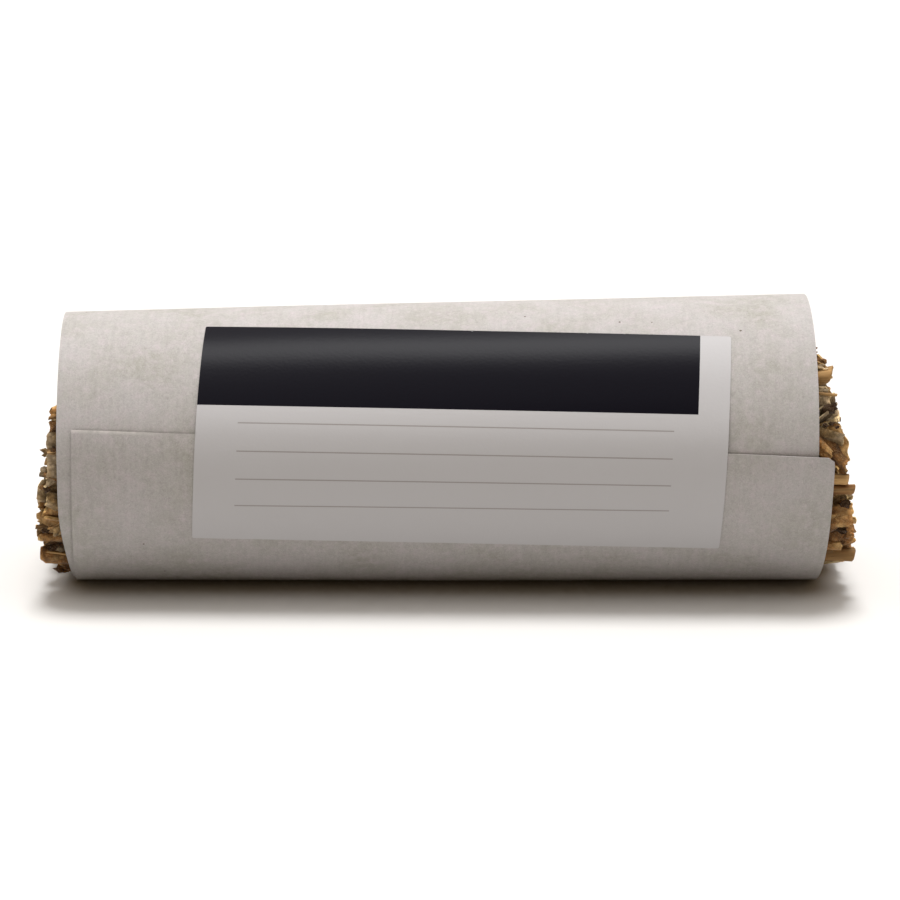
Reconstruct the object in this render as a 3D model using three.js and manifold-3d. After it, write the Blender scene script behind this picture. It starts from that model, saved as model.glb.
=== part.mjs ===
import * as THREE from "three";
import { mergeVertices } from "three/addons/utils/BufferGeometryUtils.js";
import Module from "manifold-3d";

// A sage smudge stick, lying on its side: sprigs of dried sage and lavender, bound with cotton
// thread and rolled in a sheet of recycled paper, which a stuck-on label holds shut.
// Millimetres. +X runs along the stick, -Y faces the side with the label and +Z is up. The
// stick lies on z = 0, with the origin under its middle.

// The paper sheet. Angles round the roll start straight ahead, at -Y, and go up over the top.
const SHEET_WIDTH = 91; // along the stick
const SHEET_THICKNESS = 0.4;
const LAYER_GAP = 0.1; // between two turns of the sheet
const LEFT_RADIUS = 16.65; // of the roll, at its left and right edges
const RIGHT_RADIUS = 17.95;
const FLAT_DEPTH = 0.47; // how far the roll is pressed flat where it lies
const FLAP_LEFT_EDGE = -44.7; // the flap's left corner, at the seam
const SHIFT_PER_TURN = 1.83; // each turn lies this much further left than the one outside it
const SEAM_LEFT = THREE.MathUtils.degToRad(21); // the flap's free edge, at its left and right ends
const SEAM_RIGHT = THREE.MathUtils.degToRad(6.4);
const SINK_START = THREE.MathUtils.degToRad(150); // the sheet sinks towards the turn that
const SINK_END = THREE.MathUtils.degToRad(350); // passes under the flap, between these angles
const STEPS_PER_TURN = 48;
const SHEET_STEPS = 65; // a little over one and a third turns
const SHEET_COLUMNS = 4;

// The label
const LABEL_LENGTH = 63.5;
const LABEL_HEIGHT = 29.6;
const LABEL_THICKNESS = 0.25;
const LABEL_GAP = 0.12; // glue line
const LABEL_MIDDLE = 1.9; // along the stick
const LABEL_ABOVE_SEAM = 1.24; // the label's middle, up from the seam
const LABEL_STEP_START = 2.2; // above the seam, the label starts to come down from the flap
const LABEL_STEP = 3; // and it has come down over this much more
const LABEL_COLUMNS = 8;
const LABEL_ROWS = 14;

// The bundle of herbs
const STICK_LENGTH = 100;
const STEM_SPARE = 10; // an uncut stem is this much longer
const BUNDLE_RADIUS = 15;
const BUNDLE_WIDENING = 1.02; // it is a little wider than it is high
const BUNDLE_HEIGHT = 16.05; // of its middle, over the table
const WAIST = 0.88; // the thread draws the bundle in to this share of its size
const WAIST_END = 37; // the drawn-in stretch ends here and has flared out again at FLARE_END
const FLARE_END = 45;
const BUNDLE_TWIST = THREE.MathUtils.degToRad(14); // from end to end
const CELL_GAP = 0.3; // between neighbouring sprigs
const RINGS = [
  { count: 1, radius: 0 },
  { count: 5, radius: 6.7 },
  { count: 9, radius: 11.9 },
];
const RING_JITTER = 0.7;
const SAGE_SHARE = 4.1; // the radius that each kind of sprig claims among its neighbours
const LAVENDER_SHARE = 2.7;
const LAVENDER_PLACES = [4, 8, 12];
const PLACES_SEED = 2027;
const SPRIG_SEED = 1213; // of the first sprig, with SEED_STEP more for each one after it
const SEED_STEP = 37;

// How the bundle's ends are cut. The lowest sprigs are the longest.
const SLANT_FROM = 4; // height over the table
const LEFT_CUT = { slope: 0.16, roundFrom: 16 };
const RIGHT_CUT = { slope: 0.1, roundFrom: 18 };
const ROUNDING = 0.02;
const UNEVENNESS = 0.8;
const LEAF_SLANT = 0.28; // radians, of one sprig's own cut
const STEM_SLANT = 0.5;
const BUD_SLANT = 0.2;
const LEAVES_LONGER = -0.3; // than the bundle's cut
const STEM_LONGER = 0.9;
const BUDS_LONGER = 0.5;
const CUT_BLOCK = 60; // size of the block that makes a cut

// One sage sprig. A share is a part of the way from the sprig's middle to its neighbours.
const STEM_RADIUS = 1.2;
const STEM_TAPER = 0.25; // how much thinner the stem's top is than its foot
const STEM_SIDES = 7;
const STEM_STEPS = 5;
const LEAF_THICKNESS = 0.9;
const LEAF_STEPS = 5;
const LEAF_COLUMNS = 4;
const LEAF_WAVE = 0.07; // how far the leaf's edge waves in and out, as a share of its width
const LEAF_SHARE = 0.98; // where the leaves lie
const LEAF_REACH = 78; // of an uncut leaf
const LEAF_OVERLAP = 30; // of the leaves that run to one end with those that run to the other
const LEAF_SPAN = [2.55, 2.8]; // radians round the stem
const LEAF_CURL = [0.1, 0.55]; // how far the edges curl in by the leaf's end
const LEAF_WIDENING = 1.1; // its share of full width where the leaves stop overlapping
const LEAF_TIP_SLOPE = 4; // how fast the tip narrows
const LEAF_TIP = 1.02; // where it would come to a point, so that its end stays a blunt edge
const LEAF_SINK = 0.2; // the leaf has left the stem at this part of its length
const STALK_SHIFT = 1;
const STEM_SIZES = [0.85, 1.1];
const FORWARD_SAGE = 0.6; // the share of sprigs that grew towards +X

// One lavender sprig
const LAVENDER_STEM_RADIUS = 0.75;
const HEAD_LENGTH = 26;
const HEAD_END = 4; // the last whorl sits this far from the stick's end
const WHORLS = 4;
const BUDS_PER_WHORL = 4;
const BUD_LENGTH = 5;
const BUD_RADIUS = 1.1;
const BUD_LEAN = 0.3; // radians, out from the stem
const BUD_JITTER = 0.2; // radians round the stem
const LAVENDER_LEAF_SPAN = 1.5; // radians round the stem
const LAVENDER_STALK = [8, 14]; // from the stick's middle, towards the buds

// The cotton thread
const THREAD_RADIUS = 0.45;
const THREAD_SIDES = 5;
const THREAD_CLEARANCE = 0.3; // the straight stretches between its steps come this much nearer
const THREAD_END = 34; // the wraps run from -THREAD_END to THREAD_END and back
const THREAD_TURNS = 3; // each way
const THREAD_STEPS_PER_TURN = 20;
const CROSSING_LIFT = 1; // the way back rises over the way out where they cross
const CROSSING_POWER = 8; // of the cosine that the rise follows. A high one makes it short.
const THREAD_TAIL = THREE.MathUtils.degToRad(36); // each end runs this far past the knot
const TAIL_SPACING = 1.4; // between the two ends, under the knot
const KNOT_RADIUS = 1.35;
const KNOT_TUBE = 0.42;
const KNOT_STEPS = 30;

const wasm = await Module();
wasm.setup();

// Helpers

function seededRandom(seed) {
  const modulus = 2147483647;
  let state = seed;
  return (low, high) => {
    state = (state * 48271) % modulus;
    return low + ((high - low) * state) / modulus;
  };
}

function ease(value) {
  return THREE.MathUtils.smoothstep(value, 0, 1);
}

// A closed geometry with each point moved by a rule.
function shaped(geometry, rule) {
  const positions = geometry.getAttribute("position");
  const point = new THREE.Vector3();
  for (let i = 0; i < positions.count; i++) {
    point.fromBufferAttribute(positions, i);
    const { x, y, z } = rule(point);
    positions.setXYZ(i, x, y, z);
  }
  return geometry;
}

// A sheet with a thickness. surface(u, v, depth) gives a point for u and v from 0 to 1, with
// depth 0 on the outer face and 1 on the inner one. Both faces are split along the same diagonals.
function sheetGeometry(steps, columns, surface) {
  const points = [];
  for (const depth of [0, 1])
    for (let i = 0; i <= steps; i++)
      for (let j = 0; j <= columns; j++) points.push(surface(i / steps, j / columns, depth));
  const at = (i, j, depth) => (depth * (steps + 1) + i) * (columns + 1) + j;
  const faces = [];
  for (let i = 0; i < steps; i++)
    for (let j = 0; j < columns; j++) {
      faces.push(at(i, j, 0), at(i + 1, j, 0), at(i + 1, j + 1, 0));
      faces.push(at(i, j, 0), at(i + 1, j + 1, 0), at(i, j + 1, 0));
      faces.push(at(i, j, 1), at(i + 1, j + 1, 1), at(i + 1, j, 1));
      faces.push(at(i, j, 1), at(i, j + 1, 1), at(i + 1, j + 1, 1));
    }
  const rim = (a, b) => faces.push(a[0], a[1], b[1], a[0], b[1], b[0]);
  const pair = (i, j) => [at(i, j, 0), at(i, j, 1)];
  for (let i = 0; i < steps; i++) {
    rim(pair(i, 0), pair(i + 1, 0));
    rim(pair(i + 1, columns), pair(i, columns));
  }
  for (let j = 0; j < columns; j++) {
    rim(pair(0, j + 1), pair(0, j));
    rim(pair(steps, j), pair(steps, j + 1));
  }
  return new THREE.BufferGeometry().setFromPoints(points).setIndex(faces);
}

// The solid of a closed geometry, turned the right way out.
function solidOf(geometry) {
  geometry.deleteAttribute("normal");
  geometry.deleteAttribute("uv");
  const merged = mergeVertices(geometry, 1e-4);
  const vertProperties = merged.getAttribute("position").array;
  const triVerts = new Uint32Array(merged.index.array);
  const solid = new wasm.Manifold(new wasm.Mesh({ numProp: 3, vertProperties, triVerts }));
  if (solid.volume() > 0) return solid;
  return new wasm.Manifold(new wasm.Mesh({ numProp: 3, vertProperties, triVerts: triVerts.reverse() }));
}

function joined(solids) {
  return solids.reduce((all, next) => all.add(next));
}

// The geometry of a solid's largest body. Hollows that the joins sealed and loose scraps are
// bodies of their own, so they go.
function geometryOf(solid) {
  const bodies = solid.decompose();
  const largest = bodies.reduce((most, body) => (body.volume() > most.volume() ? body : most));
  const mesh = largest.getMesh();
  return new THREE.BufferGeometry()
    .setAttribute("position", new THREE.BufferAttribute(mesh.vertProperties, 3))
    .setIndex(new THREE.BufferAttribute(mesh.triVerts, 1));
}

function addPiece(group, name, solid, color, roughness) {
  const material = new THREE.MeshStandardMaterial({ color, roughness, metalness: 0 });
  const piece = new THREE.Mesh(geometryOf(solid), material);
  piece.name = name;
  group.add(piece);
}

// A curve whose points come from a rule, and whose steps are even in the rule's own value.
class RuledCurve extends THREE.Curve {
  constructor(rule) {
    super();
    this.rule = rule;
  }

  getPoint(t, target = new THREE.Vector3()) {
    return target.copy(this.rule(t));
  }

  getUtoTmapping(u) {
    return u;
  }
}

// The paper roll

const SHEET_RIGHT_EDGE = FLAP_LEFT_EDGE + SHEET_WIDTH;
const LAYER_PITCH = SHEET_THICKNESS + LAYER_GAP;

function rollRadius(x) {
  return THREE.MathUtils.mapLinear(x, FLAP_LEFT_EDGE, SHEET_RIGHT_EDGE, LEFT_RADIUS, RIGHT_RADIUS);
}

function seamAngle(x) {
  return THREE.MathUtils.mapLinear(x, FLAP_LEFT_EDGE, SHEET_RIGHT_EDGE, SEAM_LEFT, SEAM_RIGHT);
}

// How far the sheet's outer face lies inside the roll's radius, after this much winding.
function sink(wound) {
  return LAYER_PITCH * THREE.MathUtils.smoothstep(wound, SINK_START, SINK_END);
}

// A point of the roll: x along it, an angle round it, and how far inside its radius. The roll is
// pressed flat where it lies.
function rollPoint(x, angle, inside) {
  const radius = rollRadius(x) - inside;
  const middle = rollRadius(x) - FLAT_DEPTH;
  const height = Math.max(middle + radius * Math.sin(angle), inside);
  return new THREE.Vector3(x, -radius * Math.cos(angle), height);
}

// The sheet starts at the flap's free edge, goes down, round the back and over the top, and
// passes under the flap again.
function paperWrap() {
  const surface = (u, v, depth) => {
    const wound = (2 * Math.PI * u * SHEET_STEPS) / STEPS_PER_TURN;
    const x = FLAP_LEFT_EDGE + v * SHEET_WIDTH - (SHIFT_PER_TURN * wound) / (2 * Math.PI);
    return rollPoint(x, seamAngle(x) - wound, sink(wound) + depth * SHEET_THICKNESS);
  };
  return solidOf(sheetGeometry(SHEET_STEPS, SHEET_COLUMNS, surface));
}

// The label lies square to the seam and bridges it, from the flap up to the turn under it.
function label() {
  const seamSlope = ((SEAM_RIGHT - SEAM_LEFT) * rollRadius(LABEL_MIDDLE)) / SHEET_WIDTH;
  const surface = (u, v, depth) => {
    const up = (0.5 - u) * LABEL_HEIGHT;
    const x = LABEL_MIDDLE + (v - 0.5) * LABEL_LENGTH - up * seamSlope;
    const overSeam = up + LABEL_ABOVE_SEAM;
    const angle = overSeam / rollRadius(x);
    const fall = sink(2 * Math.PI - angle) * ease((overSeam - LABEL_STEP_START) / LABEL_STEP);
    return rollPoint(x, seamAngle(x) + angle, fall - LABEL_GAP - (1 - depth) * LABEL_THICKNESS);
  };
  return solidOf(sheetGeometry(LABEL_ROWS, LABEL_COLUMNS, surface));
}

// The bundle

// How far the bundle is drawn in, at this place along it.
function squeeze(x) {
  return WAIST + (1 - WAIST) * THREE.MathUtils.smoothstep(Math.abs(x), WAIST_END, FLARE_END);
}

// A point of the bundle, from x and its place across the untwisted, round bundle.
function bundlePoint(x, across, up) {
  const twist = (BUNDLE_TWIST * x) / STICK_LENGTH;
  const size = squeeze(x);
  return new THREE.Vector3(
    x,
    size * BUNDLE_WIDENING * (across * Math.cos(twist) - up * Math.sin(twist)),
    BUNDLE_HEIGHT + size * (across * Math.sin(twist) + up * Math.cos(twist)),
  );
}

const sprigs = [];
const place = seededRandom(PLACES_SEED);
for (const { count, radius } of RINGS)
  for (let i = 0; i < count; i++) {
    const turn = (2 * Math.PI * (i + 0.5)) / count;
    const share = LAVENDER_PLACES.includes(sprigs.length) ? LAVENDER_SHARE : SAGE_SHARE;
    sprigs.push({
      across: radius * Math.cos(turn) + place(-RING_JITTER, RING_JITTER),
      up: radius * Math.sin(turn) + place(-RING_JITTER, RING_JITTER),
      share,
    });
  }

// How far a sprig may reach from its middle at an angle: to halfway to its neighbours, by their
// shares, or to the bundle's outline.
function cellReach(sprig, angle) {
  const along = sprig.across * Math.cos(angle) + sprig.up * Math.sin(angle);
  const middleSquared = sprig.across ** 2 + sprig.up ** 2;
  let reach = -along + Math.sqrt(along ** 2 + BUNDLE_RADIUS ** 2 - middleSquared);
  for (const other of sprigs) {
    const across = other.across - sprig.across;
    const up = other.up - sprig.up;
    const distance = Math.hypot(across, up);
    const facing = (across * Math.cos(angle) + up * Math.sin(angle)) / distance;
    if (other === sprig || facing <= 0) continue;
    const border = (distance ** 2 + sprig.share ** 2 - other.share ** 2) / (2 * distance);
    reach = Math.min(reach, (border - CELL_GAP / 2 / WAIST) / facing);
  }
  return reach;
}

// A point of a sprig, from x, an angle round its middle and a radius.
function sprigPoint(sprig, x, angle, radius) {
  return bundlePoint(x, sprig.across + radius * Math.cos(angle), sprig.up + radius * Math.sin(angle));
}

// How much shorter the herbs are cut at this height over the table than at the bottom: first in
// a straight slant, then rounding off. At the left end the upper ones stop inside the roll.
function shortening(height, { slope, roundFrom }) {
  return slope * Math.max(height - SLANT_FROM, 0) + ROUNDING * Math.max(height - roundFrom, 0) ** 2;
}

// A block that takes away all beyond a slanting cut through a sprig. side is -1 for the left end.
function beyondCut(sprig, side, x, lean, swing) {
  const middle = sprigPoint(sprig, x, 0, 0);
  const block = new THREE.BoxGeometry(CUT_BLOCK, CUT_BLOCK, CUT_BLOCK);
  block.translate((side * CUT_BLOCK) / 2, 0, 0).rotateY(lean).rotateZ(swing);
  return solidOf(block.translate(middle.x, middle.y, middle.z));
}

// A solid cut to length at both ends. longer moves each cut out by up to that much.
function cutToLength(solid, sprig, random, longer, slant) {
  const height = sprigPoint(sprig, 0, 0, 0).z;
  const left = shortening(height, LEFT_CUT) - STICK_LENGTH / 2 - random(longer - UNEVENNESS, longer);
  const right = STICK_LENGTH / 2 - shortening(height, RIGHT_CUT) + random(longer - UNEVENNESS, longer);
  const cuts = [
    beyondCut(sprig, -1, left, random(-slant, slant), random(-slant, slant)),
    beyondCut(sprig, 1, right, random(-slant, slant), random(-slant, slant)),
    beyondCut(sprig, -1, -STICK_LENGTH / 2, 0, 0),
    beyondCut(sprig, 1, STICK_LENGTH / 2, 0, 0),
  ];
  return cuts.reduce((rest, block) => rest.subtract(block), solid);
}

// A stem that runs past both ends, to be cut. forward is 1 where it grew towards +X, or else -1.
function stem(sprig, radius, sides, forward) {
  const geometry = new THREE.CylinderGeometry(radius, radius, STICK_LENGTH + STEM_SPARE, sides, STEM_STEPS);
  const rule = ({ x, y, z }) => {
    const thinning = 1 - (STEM_TAPER * forward * y) / STICK_LENGTH;
    return sprigPoint(sprig, y, Math.atan2(z, x), Math.hypot(x, z) * thinning);
  };
  return solidOf(shaped(geometry, rule));
}

// The share of a leaf's full width at u, from its stalk at 0 to its tip at 1. It widens slowly, so
// that it fits between the stalks of the leaves that run the other way.
function leafOutline(u) {
  const widening = (LEAF_WIDENING * u * LEAF_REACH) / LEAF_OVERLAP;
  const wave = Math.round(u * LEAF_STEPS) % 2 ? LEAF_WAVE : -LEAF_WAVE;
  return Math.min(widening, 1 + wave, LEAF_TIP_SLOPE * (LEAF_TIP - u));
}

// A leaf pressed along its stem. Its stalk starts in the stem, and its edges curl inwards.
function leaf(sprig, { root, length, turn, span, curl }) {
  const surface = (u, v, depth) => {
    const side = 2 * v - 1;
    const x = root + length * u;
    const angle = turn + (side * span * leafOutline(u)) / 2;
    const full = cellReach(sprig, angle) * LEAF_SHARE * (1 - curl * u * side ** 2);
    const radius = THREE.MathUtils.lerp(LEAF_THICKNESS, full, ease(u / LEAF_SINK));
    return sprigPoint(sprig, x, angle, radius - depth * LEAF_THICKNESS);
  };
  return solidOf(sheetGeometry(LEAF_STEPS, LEAF_COLUMNS, surface));
}

// A sage sprig: one pair of opposite leaves runs out to each end.
function sageSprig(sprig, random) {
  const forward = random(0, 1) < FORWARD_SAGE ? 1 : -1;
  const turn = random(0, 2 * Math.PI);
  const leaves = [-1, 1].flatMap((end) =>
    [0, 1].map((side) =>
      leaf(sprig, {
        root: (-end * LEAF_OVERLAP) / 2 + random(-STALK_SHIFT, STALK_SHIFT),
        length: end * LEAF_REACH,
        turn: turn + (end * Math.PI) / 4 + side * Math.PI,
        span: random(...LEAF_SPAN),
        curl: random(...LEAF_CURL),
      }),
    ),
  );
  const foliage = cutToLength(joined(leaves), sprig, random, LEAVES_LONGER, LEAF_SLANT);
  const woody = stem(sprig, STEM_RADIUS * random(...STEM_SIZES), STEM_SIDES, forward);
  return foliage.add(cutToLength(woody, sprig, random, STEM_LONGER, STEM_SLANT));
}

// A lavender bud: a cone with its point in the stem, leaning out along it.
function bud(sprig, { x, turn, forward }) {
  const geometry = new THREE.ConeGeometry(BUD_RADIUS, BUD_LENGTH, 5, 1);
  geometry.translate(0, -BUD_LENGTH / 2, 0).rotateZ((forward * Math.PI) / 2);
  geometry.rotateY(-forward * BUD_LEAN);
  const rule = (point) => {
    const angle = turn + Math.atan2(point.y, point.z);
    const radius = Math.min(Math.hypot(point.y, point.z), cellReach(sprig, angle));
    return sprigPoint(sprig, x + point.x, angle, radius);
  };
  return solidOf(shaped(geometry, rule));
}

// A lavender sprig: a thin square stem with whorls of buds towards one end and a pair of narrow
// leaves towards the other.
function lavenderSprig(sprig, random) {
  const forward = random(0, 1) < 0.5 ? 1 : -1;
  const buds = [];
  for (let whorl = 0; whorl < WHORLS; whorl++)
    for (let i = 0; i < BUDS_PER_WHORL; i++) {
      const x = forward * (STICK_LENGTH / 2 - HEAD_END - (HEAD_LENGTH * whorl) / WHORLS);
      const turn = (2 * Math.PI * (i + whorl / 2)) / BUDS_PER_WHORL + random(-BUD_JITTER, BUD_JITTER);
      buds.push(bud(sprig, { x, turn, forward }));
    }
  const turn = random(0, 2 * Math.PI);
  const leaves = [0, Math.PI].map((side) =>
    leaf(sprig, {
      root: forward * random(...LAVENDER_STALK),
      length: -forward * LEAF_REACH,
      turn: turn + side,
      span: LAVENDER_LEAF_SPAN,
      curl: 0,
    }),
  );
  const stalk = stem(sprig, LAVENDER_STEM_RADIUS, 4, forward);
  return cutToLength(joined([stalk, ...buds, ...leaves]), sprig, random, BUDS_LONGER, BUD_SLANT);
}

// The thread

// A point on the bundle's outside: an angle that starts straight ahead and goes up, and a lift.
function outsidePoint(x, angle, lift) {
  const radius = BUNDLE_RADIUS + (THREAD_CLEARANCE + THREAD_RADIUS + lift) / squeeze(x);
  const twist = (BUNDLE_TWIST * x) / STICK_LENGTH;
  const turned = Math.PI - angle - twist;
  return bundlePoint(x, radius * Math.cos(turned), radius * Math.sin(turned));
}

// The thread starts on top at the left end, goes round to the front and out to the right in an
// open helix. It comes back in another, which crosses the first in front and behind, and goes up
// to the top again, where a knot ties its two ends.
function bindingThread() {
  const top = Math.PI / 2;
  const helix = 2 * Math.PI * THREAD_TURNS;
  const start = top - 2 * Math.PI - THREAD_TAIL;
  const end = 2 * helix + top + THREAD_TAIL;
  const route = new RuledCurve((t) => {
    const angle = THREE.MathUtils.lerp(start, end, t);
    const fromMiddle = Math.abs(THREE.MathUtils.clamp(angle, 0, 2 * helix) - helix) / helix;
    const apart = THREE.MathUtils.smoothstep(angle, 2 * helix, 2 * helix + top) * TAIL_SPACING;
    const x = THREAD_END * (1 - 2 * fromMiddle) + apart;
    const over = angle > helix + top ? CROSSING_LIFT * Math.cos(angle) ** CROSSING_POWER : 0;
    return outsidePoint(x, angle, over);
  });
  const steps = Math.round(((end - start) / (2 * Math.PI)) * THREAD_STEPS_PER_TURN);
  const section = new THREE.Shape(
    new THREE.EllipseCurve(0, 0, THREAD_RADIUS, THREAD_RADIUS).getPoints(THREAD_SIDES).slice(1),
  );
  const wraps = new THREE.ExtrudeGeometry(section, { steps, extrudePath: route, bevelEnabled: false });
  const middle = outsidePoint(-THREAD_END + TAIL_SPACING / 2, top, KNOT_RADIUS / 2);
  const knot = new THREE.TorusKnotGeometry(KNOT_RADIUS, KNOT_TUBE, KNOT_STEPS, THREAD_SIDES, 2, 3);
  return solidOf(wraps).add(solidOf(knot.translate(middle.x, middle.y, middle.z)));
}

// The whole stick

const stick = new THREE.Group();
addPiece(stick, "paper_wrap", paperWrap(), 0xcfc8c2, 0.92);
addPiece(stick, "label", label(), 0xd9d5d3, 0.55);
addPiece(stick, "binding_thread", bindingThread(), 0xddd2ba, 0.95);
const SAGE_TONES = [0x746655, 0x64553c, 0x8a7a5c];
let sageCount = 0;
let lavenderCount = 0;
sprigs.forEach((sprig, i) => {
  const random = seededRandom(SPRIG_SEED + SEED_STEP * i);
  if (sprig.share === LAVENDER_SHARE) {
    lavenderCount += 1;
    addPiece(stick, `lavender_sprig_${lavenderCount}`, lavenderSprig(sprig, random), 0x6d5a48, 0.9);
  } else {
    sageCount += 1;
    const name = `sage_sprig_${String(sageCount).padStart(2, "0")}`;
    addPiece(stick, name, sageSprig(sprig, random), SAGE_TONES[i % SAGE_TONES.length], 0.9);
  }
});

export default stick;
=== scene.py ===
from math import atan2, cos, degrees, exp, hypot, pi, radians, sin, sqrt, tan, tanh, tau

import bpy
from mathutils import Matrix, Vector, noise


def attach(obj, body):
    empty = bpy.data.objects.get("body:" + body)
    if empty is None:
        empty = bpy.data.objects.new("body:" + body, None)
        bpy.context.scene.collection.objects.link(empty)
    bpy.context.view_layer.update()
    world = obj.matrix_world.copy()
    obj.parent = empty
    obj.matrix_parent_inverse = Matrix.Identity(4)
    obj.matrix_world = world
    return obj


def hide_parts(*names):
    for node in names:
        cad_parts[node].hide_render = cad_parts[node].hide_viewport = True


# A sage smudge stick on a pale floor: dried sage and lavender, bound with cotton thread, rolled in
# recycled paper and closed with a label. Lengths are in millimetres until mm turns them to metres.

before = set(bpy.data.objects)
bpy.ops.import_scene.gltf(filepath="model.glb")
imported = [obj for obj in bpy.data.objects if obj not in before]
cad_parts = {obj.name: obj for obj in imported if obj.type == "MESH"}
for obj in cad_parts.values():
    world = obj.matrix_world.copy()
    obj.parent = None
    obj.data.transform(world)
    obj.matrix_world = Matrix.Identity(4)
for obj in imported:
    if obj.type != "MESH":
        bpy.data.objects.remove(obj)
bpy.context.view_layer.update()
mm = 0.001


# Small helpers

def useOnly(piece):
    bpy.ops.object.select_all(action="DESELECT")
    piece.select_set(True)
    bpy.context.view_layer.objects.active = piece


def smoothStep(value, low=0.0, high=1.0):
    share = min(max((value - low) / (high - low), 0), 1)
    return share * share * (3 - 2 * share)


def between(share, low, high):
    return low + (high - low) * share


def seededRandom(seed):
    multiplier, modulus = 48271, 2147483647
    state = [seed]

    def draw(low, high):
        state[0] = state[0] * multiplier % modulus
        return low + (high - low) * state[0] / modulus

    return draw


def ripple(kind, x, y, seed):
    # kind is its strength, how close the ripples are along x and along y, and what it adds to the seed
    strength, closeX, closeY, own = kind
    apart = 7.31  # the noise is unrelated this far off
    return strength * noise.noise(Vector((x * closeX, y * closeY, (seed + own) * apart)))


def addGrid(rows, columns, rule):
    # rule(along, side) gives each point, with along from 0 to 1 and side from -1 to 1
    bpy.ops.mesh.primitive_grid_add(x_subdivisions=rows, y_subdivisions=columns, size=2)
    piece = bpy.context.object
    for vertex in piece.data.vertices:
        vertex.co = Vector(rule((vertex.co.x + 1) / 2, vertex.co.y)) * mm
    return piece


def applyModifier(piece, kind, **settings):
    useOnly(piece)
    modifier = piece.modifiers.new(kind, kind)
    for name, value in settings.items():
        setattr(modifier, name, value)
    bpy.ops.object.modifier_apply(modifier=modifier.name)


def editAll(piece):
    useOnly(piece)
    bpy.ops.object.mode_set(mode="EDIT")
    bpy.ops.mesh.select_all(action="SELECT")


def leaveEditing():
    bpy.ops.object.mode_set(mode="OBJECT")


def smoothFaces(piece, sharpest):
    useOnly(piece)
    bpy.ops.object.shade_smooth_by_angle(angle=radians(sharpest))


def dress(piece, *materials):
    for material in materials:
        piece.data.materials.append(material)


def joinPieces(pieces, name):
    bpy.ops.object.select_all(action="DESELECT")
    for piece in pieces:
        piece.select_set(True)
    bpy.context.view_layer.objects.active = pieces[0]
    bpy.ops.object.join()
    pieces[0].name = name
    pieces[0].data.name = name
    return pieces[0]


def paintPoints(piece, tones):
    # what the plant materials read at each point: hue, light, seed and 1
    piece.data.color_attributes.new("tone", "FLOAT_COLOR", "POINT").data.foreach_set("color", tones)


def paint(piece, hue, light, seed):
    # hue is the place on the colour ramp, light the brightness and seed a number of its own
    paintPoints(piece, [hue, light, seed, 1.0] * len(piece.data.vertices))


def ownNumber(seed):
    # spreads neighbouring seeds over 0 to 1
    return seed * 0.137 % 1


def finishPiece(piece, node):
    useOnly(piece)
    bpy.ops.object.transform_apply(location=True, rotation=True, scale=True)
    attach(piece, "root")
    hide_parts(node)


# Materials

def linearColour(code):
    channels = [int(code[i:i + 2], 16) / 255 for i in (1, 3, 5)]
    return [c / 12.92 if c <= 0.04045 else ((c + 0.055) / 1.055) ** 2.4 for c in channels] + [1.0]


def addNode(tree, kind, inputs=None, stops=None, **settings):
    # inputs are values or other nodes' sockets; stops are (place, hex colour) pairs of a ramp
    node = tree.nodes.new("ShaderNode" + kind)
    for name, value in settings.items():
        setattr(node, name, value)
    for socket, value in (inputs or {}).items():
        if isinstance(value, bpy.types.NodeSocket):
            tree.links.new(value, node.inputs[socket])
        else:
            node.inputs[socket].default_value = value
    for i, (place, code) in enumerate(stops or []):
        elements = node.color_ramp.elements
        element = elements[i] if i < len(elements) else elements.new(place)
        element.position = place
        element.color = linearColour(code)
    return node


def calculate(tree, operation, *values, **settings):
    return addNode(tree, "Math", dict(enumerate(values)), operation=operation, **settings).outputs[0]


def remap(tree, value, low, high, toLow=0, toHigh=1, **settings):
    return addNode(tree, "MapRange", {
        "Value": value, "From Min": low, "From Max": high, "To Min": toLow, "To Max": toHigh},
        **settings).outputs["Result"]


def times(tree, first, second, **settings):
    return calculate(tree, "MULTIPLY", first, second, **settings)


def scaled(tree, vector, share):
    return addNode(tree, "VectorMath", {0: vector, "Scale": share}, operation="SCALE").outputs["Vector"]


def ramped(tree, level, stops):
    return addNode(tree, "ValToRGB", {"Fac": level}, stops=stops).outputs["Color"]


def mixed(tree, share, first, second):
    # the two colours are hex codes or other nodes' sockets
    first, second = (linearColour(c) if isinstance(c, str) else c for c in (first, second))
    node = addNode(tree, "Mix", {"Factor": share, "A": first, "B": second}, data_type="RGBA")
    return node.outputs["Result"]


def noisy(tree, place, size, detail, **inputs):
    return addNode(tree, "TexNoise", {
        "Vector": place, "Scale": 1 / size, "Detail": detail, **inputs}).outputs["Fac"]


def stretched(tree, place, scale):
    return addNode(tree, "Mapping", {"Vector": place, "Scale": scale}).outputs["Vector"]


def placeIn(tree, sizes=(1, 1, 1)):
    # the place on the object, counted in these sizes, which are in millimetres
    place = addNode(tree, "TexCoord").outputs["Object"]
    return stretched(tree, place, [1 / mm / size for size in sizes])


def paintedTone(tree):
    # hue, light and seed, as painted on the piece
    tone = addNode(tree, "Attribute", attribute_name="tone", attribute_type="GEOMETRY")
    return list(addNode(tree, "SeparateColor", {"Color": tone.outputs["Color"]}).outputs)[:3]


def newMaterial(name):
    material = bpy.data.materials.new(name)
    material.use_nodes = True
    return material, material.node_tree


def finishMaterial(material, colour, height, finish):
    # finish has the bump's strength and depth, and the constant numbers of the shader's sockets
    tree = material.node_tree
    shader = tree.nodes["Principled BSDF"]
    strength, depth = finish["bump"]
    bump = addNode(tree, "Bump", {"Height": height, "Strength": strength, "Distance": depth * mm})
    tree.links.new(colour, shader.inputs["Base Color"])
    tree.links.new(bump.outputs["Normal"], shader.inputs["Normal"])
    for name, value in finish["shader"].items():
        shader.inputs[name].default_value = value
    return material


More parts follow.
